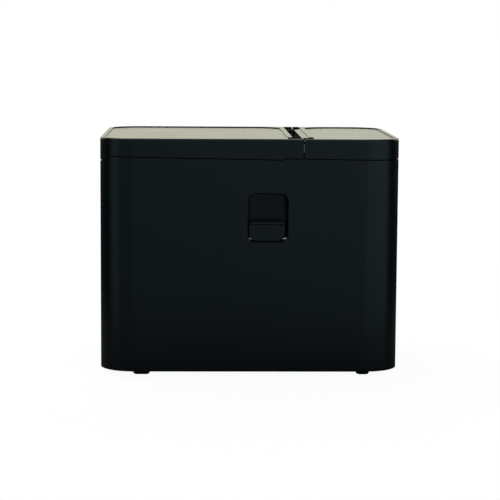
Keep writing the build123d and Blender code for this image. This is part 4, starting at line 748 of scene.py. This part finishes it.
# Sockets and their plate: a bare steel plate in the case's rear wall, with the power and
# drawer sockets in black plastic and the shielded ones in plated steel, gold inside.
sheet_steel.paint("io_plate")
socket_black = moulded("socket_plastic", (0.008, 0.008, 0.008), 0.4, grain=0.0006, depth=0.000006)
socket_black.paint("power_socket", "drawer_socket")
socket_steel = steel("socket_steel", (0.62, 0.62, 0.6), 0.26, stretch=(1.0, 1.0, 0.1))
socket_steel.paint("usb_socket", "lan_socket")
gold = steel("gold_contacts", (0.75, 0.52, 0.2), 0.22, stretch=(1.0, 1.0, 1.0), lines=1500.0, depth=0.000001)
contacts = bmesh.new()

# Sprung contacts: socket, how many, and their height over the socket's middle.
contact_spacing = 0.00102
contact_half_width, contact_height = 0.0002, 0.0003
contact_start, contact_end = 0.004, 0.0105
for name, count, rise in (("lan_socket", 8, 0.0029), ("drawer_socket", 6, 0.0026)):
    low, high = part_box(name)
    middle_y, middle_z = middle_of(low, high)[1:]
    for step in range(count):
        y = middle_y + (step - (count - 1) / 2) * contact_spacing
        bar(contacts, (low[0] + contact_start, y - contact_half_width, middle_z + rise),
            (low[0] + contact_end, y + contact_half_width, middle_z + rise + contact_height), 0.0001)

# The square socket has a tongue with two wider contacts on each of its faces.
tongue_half_width, tongue_half_height = 0.0028, 0.0016
tongue_start, tongue_end = 0.002, 0.0107
leaf_half_spacing, leaf_half_width = 0.00125, 0.0004
leaf_start = 0.003
leaf_heights = (0.0015, 0.0018)
low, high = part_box("usb_socket")
middle_y, middle_z = middle_of(low, high)[1:]
tongue = bmesh.new()
bar(tongue, (low[0] + tongue_start, middle_y - tongue_half_width, middle_z - tongue_half_height),
    (low[0] + tongue_end, middle_y + tongue_half_width, middle_z + tongue_half_height), 0.0003)
fill("usb_tongue", tongue, socket_black, "case", "socket_black")
for side in (-1, 1):
    for y in (middle_y - leaf_half_spacing, middle_y + leaf_half_spacing):
        z0, z1 = sorted(middle_z + side * height for height in leaf_heights)
        bar(contacts, (low[0] + leaf_start, y - leaf_half_width, z0),
            (low[0] + contact_end, y + leaf_half_width, z1), 0.00005)
fill("socket_contacts", contacts, gold, "case", "brass")

# Control panel: a dark grey insert in the case's front with two buttons and three light
# pipes of clear, slightly green acrylic.
inner.paint("control_panel")
button_grey = moulded("button_plastic", (0.03, 0.031, 0.034), 0.35, grain=0.0005, depth=0.00001)
button_grey.paint("feed_button", "power_button")
light_clear = moulded("light_pipe", (0.2, 0.32, 0.24), 0.12, grain=0.002, depth=0.000001)
light_clear.surface.inputs["Coat Weight"].default_value = 0.5
light_clear.paint("status_lights")

# Camera: the photograph's own view, low in front of the lever side and looking a little
# down. Its focal length was measured in pixels of the picture.
focal_pixels, picture_pixels = 1769.0, 500.0
camera_x, camera_y, camera_z = -0.0305, -1.115, 0.206
yaw, pitch, roll = 0.0291, 0.1222, 0.0065
camera_data = bpy.data.cameras.new("camera")
camera_data.sensor_width = 36.0
camera_data.lens = focal_pixels * 36.0 / picture_pixels
camera = linked("camera", camera_data)
forward = Vector((math.sin(yaw) * math.cos(pitch), math.cos(yaw) * math.cos(pitch), -math.sin(pitch)))
level = Vector((math.cos(yaw), -math.sin(yaw), 0.0))
upright = level.cross(forward)
right = level * math.cos(roll) + upright * math.sin(roll)
up = upright * math.cos(roll) - level * math.sin(roll)
camera.matrix_world = Matrix((
    (right.x, up.x, -forward.x, camera_x),
    (right.y, up.y, -forward.y, camera_y),
    (right.z, up.z, -forward.z, camera_z),
    (0.0, 0.0, 0.0, 1.0)))
bpy.context.scene.camera = camera

# Floor: a pale disc that fades into the white round it. The camera sees it nearly white, with
# the printer's faint shadow, and everything else sees it grey.
floor_radius = 0.45
floor_sides = 96
floor_drop = 0.00002
fade_start = 0.2
floor_white = (0.95, 0.95, 0.95)
rim = [(floor_radius * math.cos(math.tau * k / floor_sides),
        floor_radius * math.sin(math.tau * k / floor_sides), -floor_drop) for k in range(floor_sides)]
floor_data = bpy.data.meshes.new("floor")
floor_data.from_pydata(rim, [], [tuple(range(floor_sides))])
floor = linked("floor", floor_data)
paper = Finish("floor_paper", (0.1, 0.1, 0.1), 0.9, specular=0.0)
reach = paper.node("VectorMath", {"operation": "LENGTH"}, output=1, i0=paper.here())
paper.feed("Alpha", paper.node("MapRange", Value=reach, From_Min=fade_start, From_Max=floor_radius,
                               To_Min=1.0, To_Max=0.0))
seen = paper.node("LightPath")
paper.surface.inputs["Emission Strength"].default_value = 1.0
paper.feed("Emission Color", paper.mixed(seen, (0.0, 0.0, 0.0), floor_white))
paper.paint(floor)

# Light: a bright wall behind and above the printer, a dim cool room on the camera's side that
# is brighter to the right and in a strip at the far left, and one large lamp overhead.
wall_color, wall_strength = (1.0, 1.0, 0.81, 1.0), 1.2
room_color = (0.72, 0.98, 1.07, 1.0)
room_climb, room_low, room_least = 0.25, 0.045, 0.01
lamp_power, lamp_size = 5.0, 0.9
lamp_place, lamp_aim = Vector((-0.35, 0.35, 1.25)), Vector((0.0, 0.0, 0.07))
world = bpy.data.worlds.new("studio")
world.use_nodes = True
bpy.context.scene.world = world
studio = Nodes(world.node_tree)
studio.tree.nodes.clear()


def between(value, start, end, low=0.0, high=1.0):
    """Goes smoothly from low to high as the value goes from start to end."""
    return studio.node("MapRange", {"interpolation_type": "SMOOTHSTEP"}, Value=value,
                       From_Min=start, From_Max=end, To_Min=low, To_Max=high)


heading = studio.node("TexCoord")
east, north, rise = (studio.node("SeparateXYZ", output=k, Vector=heading) for k in range(3))
behind = between(north, 0.4, 0.85)
over = between(rise, -0.01, 0.05)
ahead = between(north, -0.3, 0.1, 1.0, 0.0)
sideways = between(east, -0.2, 0.35, 0.75, 1.75) + between(east, -0.92, -0.7, 0.7, 0.0)
climbing = between(rise, -0.33, 0.1) * room_climb + room_low
dim = studio.node("Background", Color=room_color, Strength=ahead * sideways * climbing + room_least)
bright = studio.node("Background", Color=wall_color, Strength=behind * over * wall_strength)
room = studio.node("AddShader", i0=dim, i1=bright)
white = studio.node("Background", Color=(1.0, 1.0, 1.0, 1.0), Strength=1.0)
shown = studio.node("MixShader", i0=studio.node("LightPath"), i1=room, i2=white)
studio.tree.links.new(shown.socket, studio.tree.nodes.new("ShaderNodeOutputWorld").inputs[0])
lamp_data = bpy.data.lights.new("soft_lamp", "AREA")
lamp_data.energy = lamp_power
lamp_data.size = lamp_size
lamp = linked("soft_lamp", lamp_data)
lamp.location = lamp_place
lamp.rotation_euler = (lamp_aim - lamp_place).to_track_quat("-Z", "Y").to_euler()
bpy.context.scene.view_settings.view_transform = "Standard"
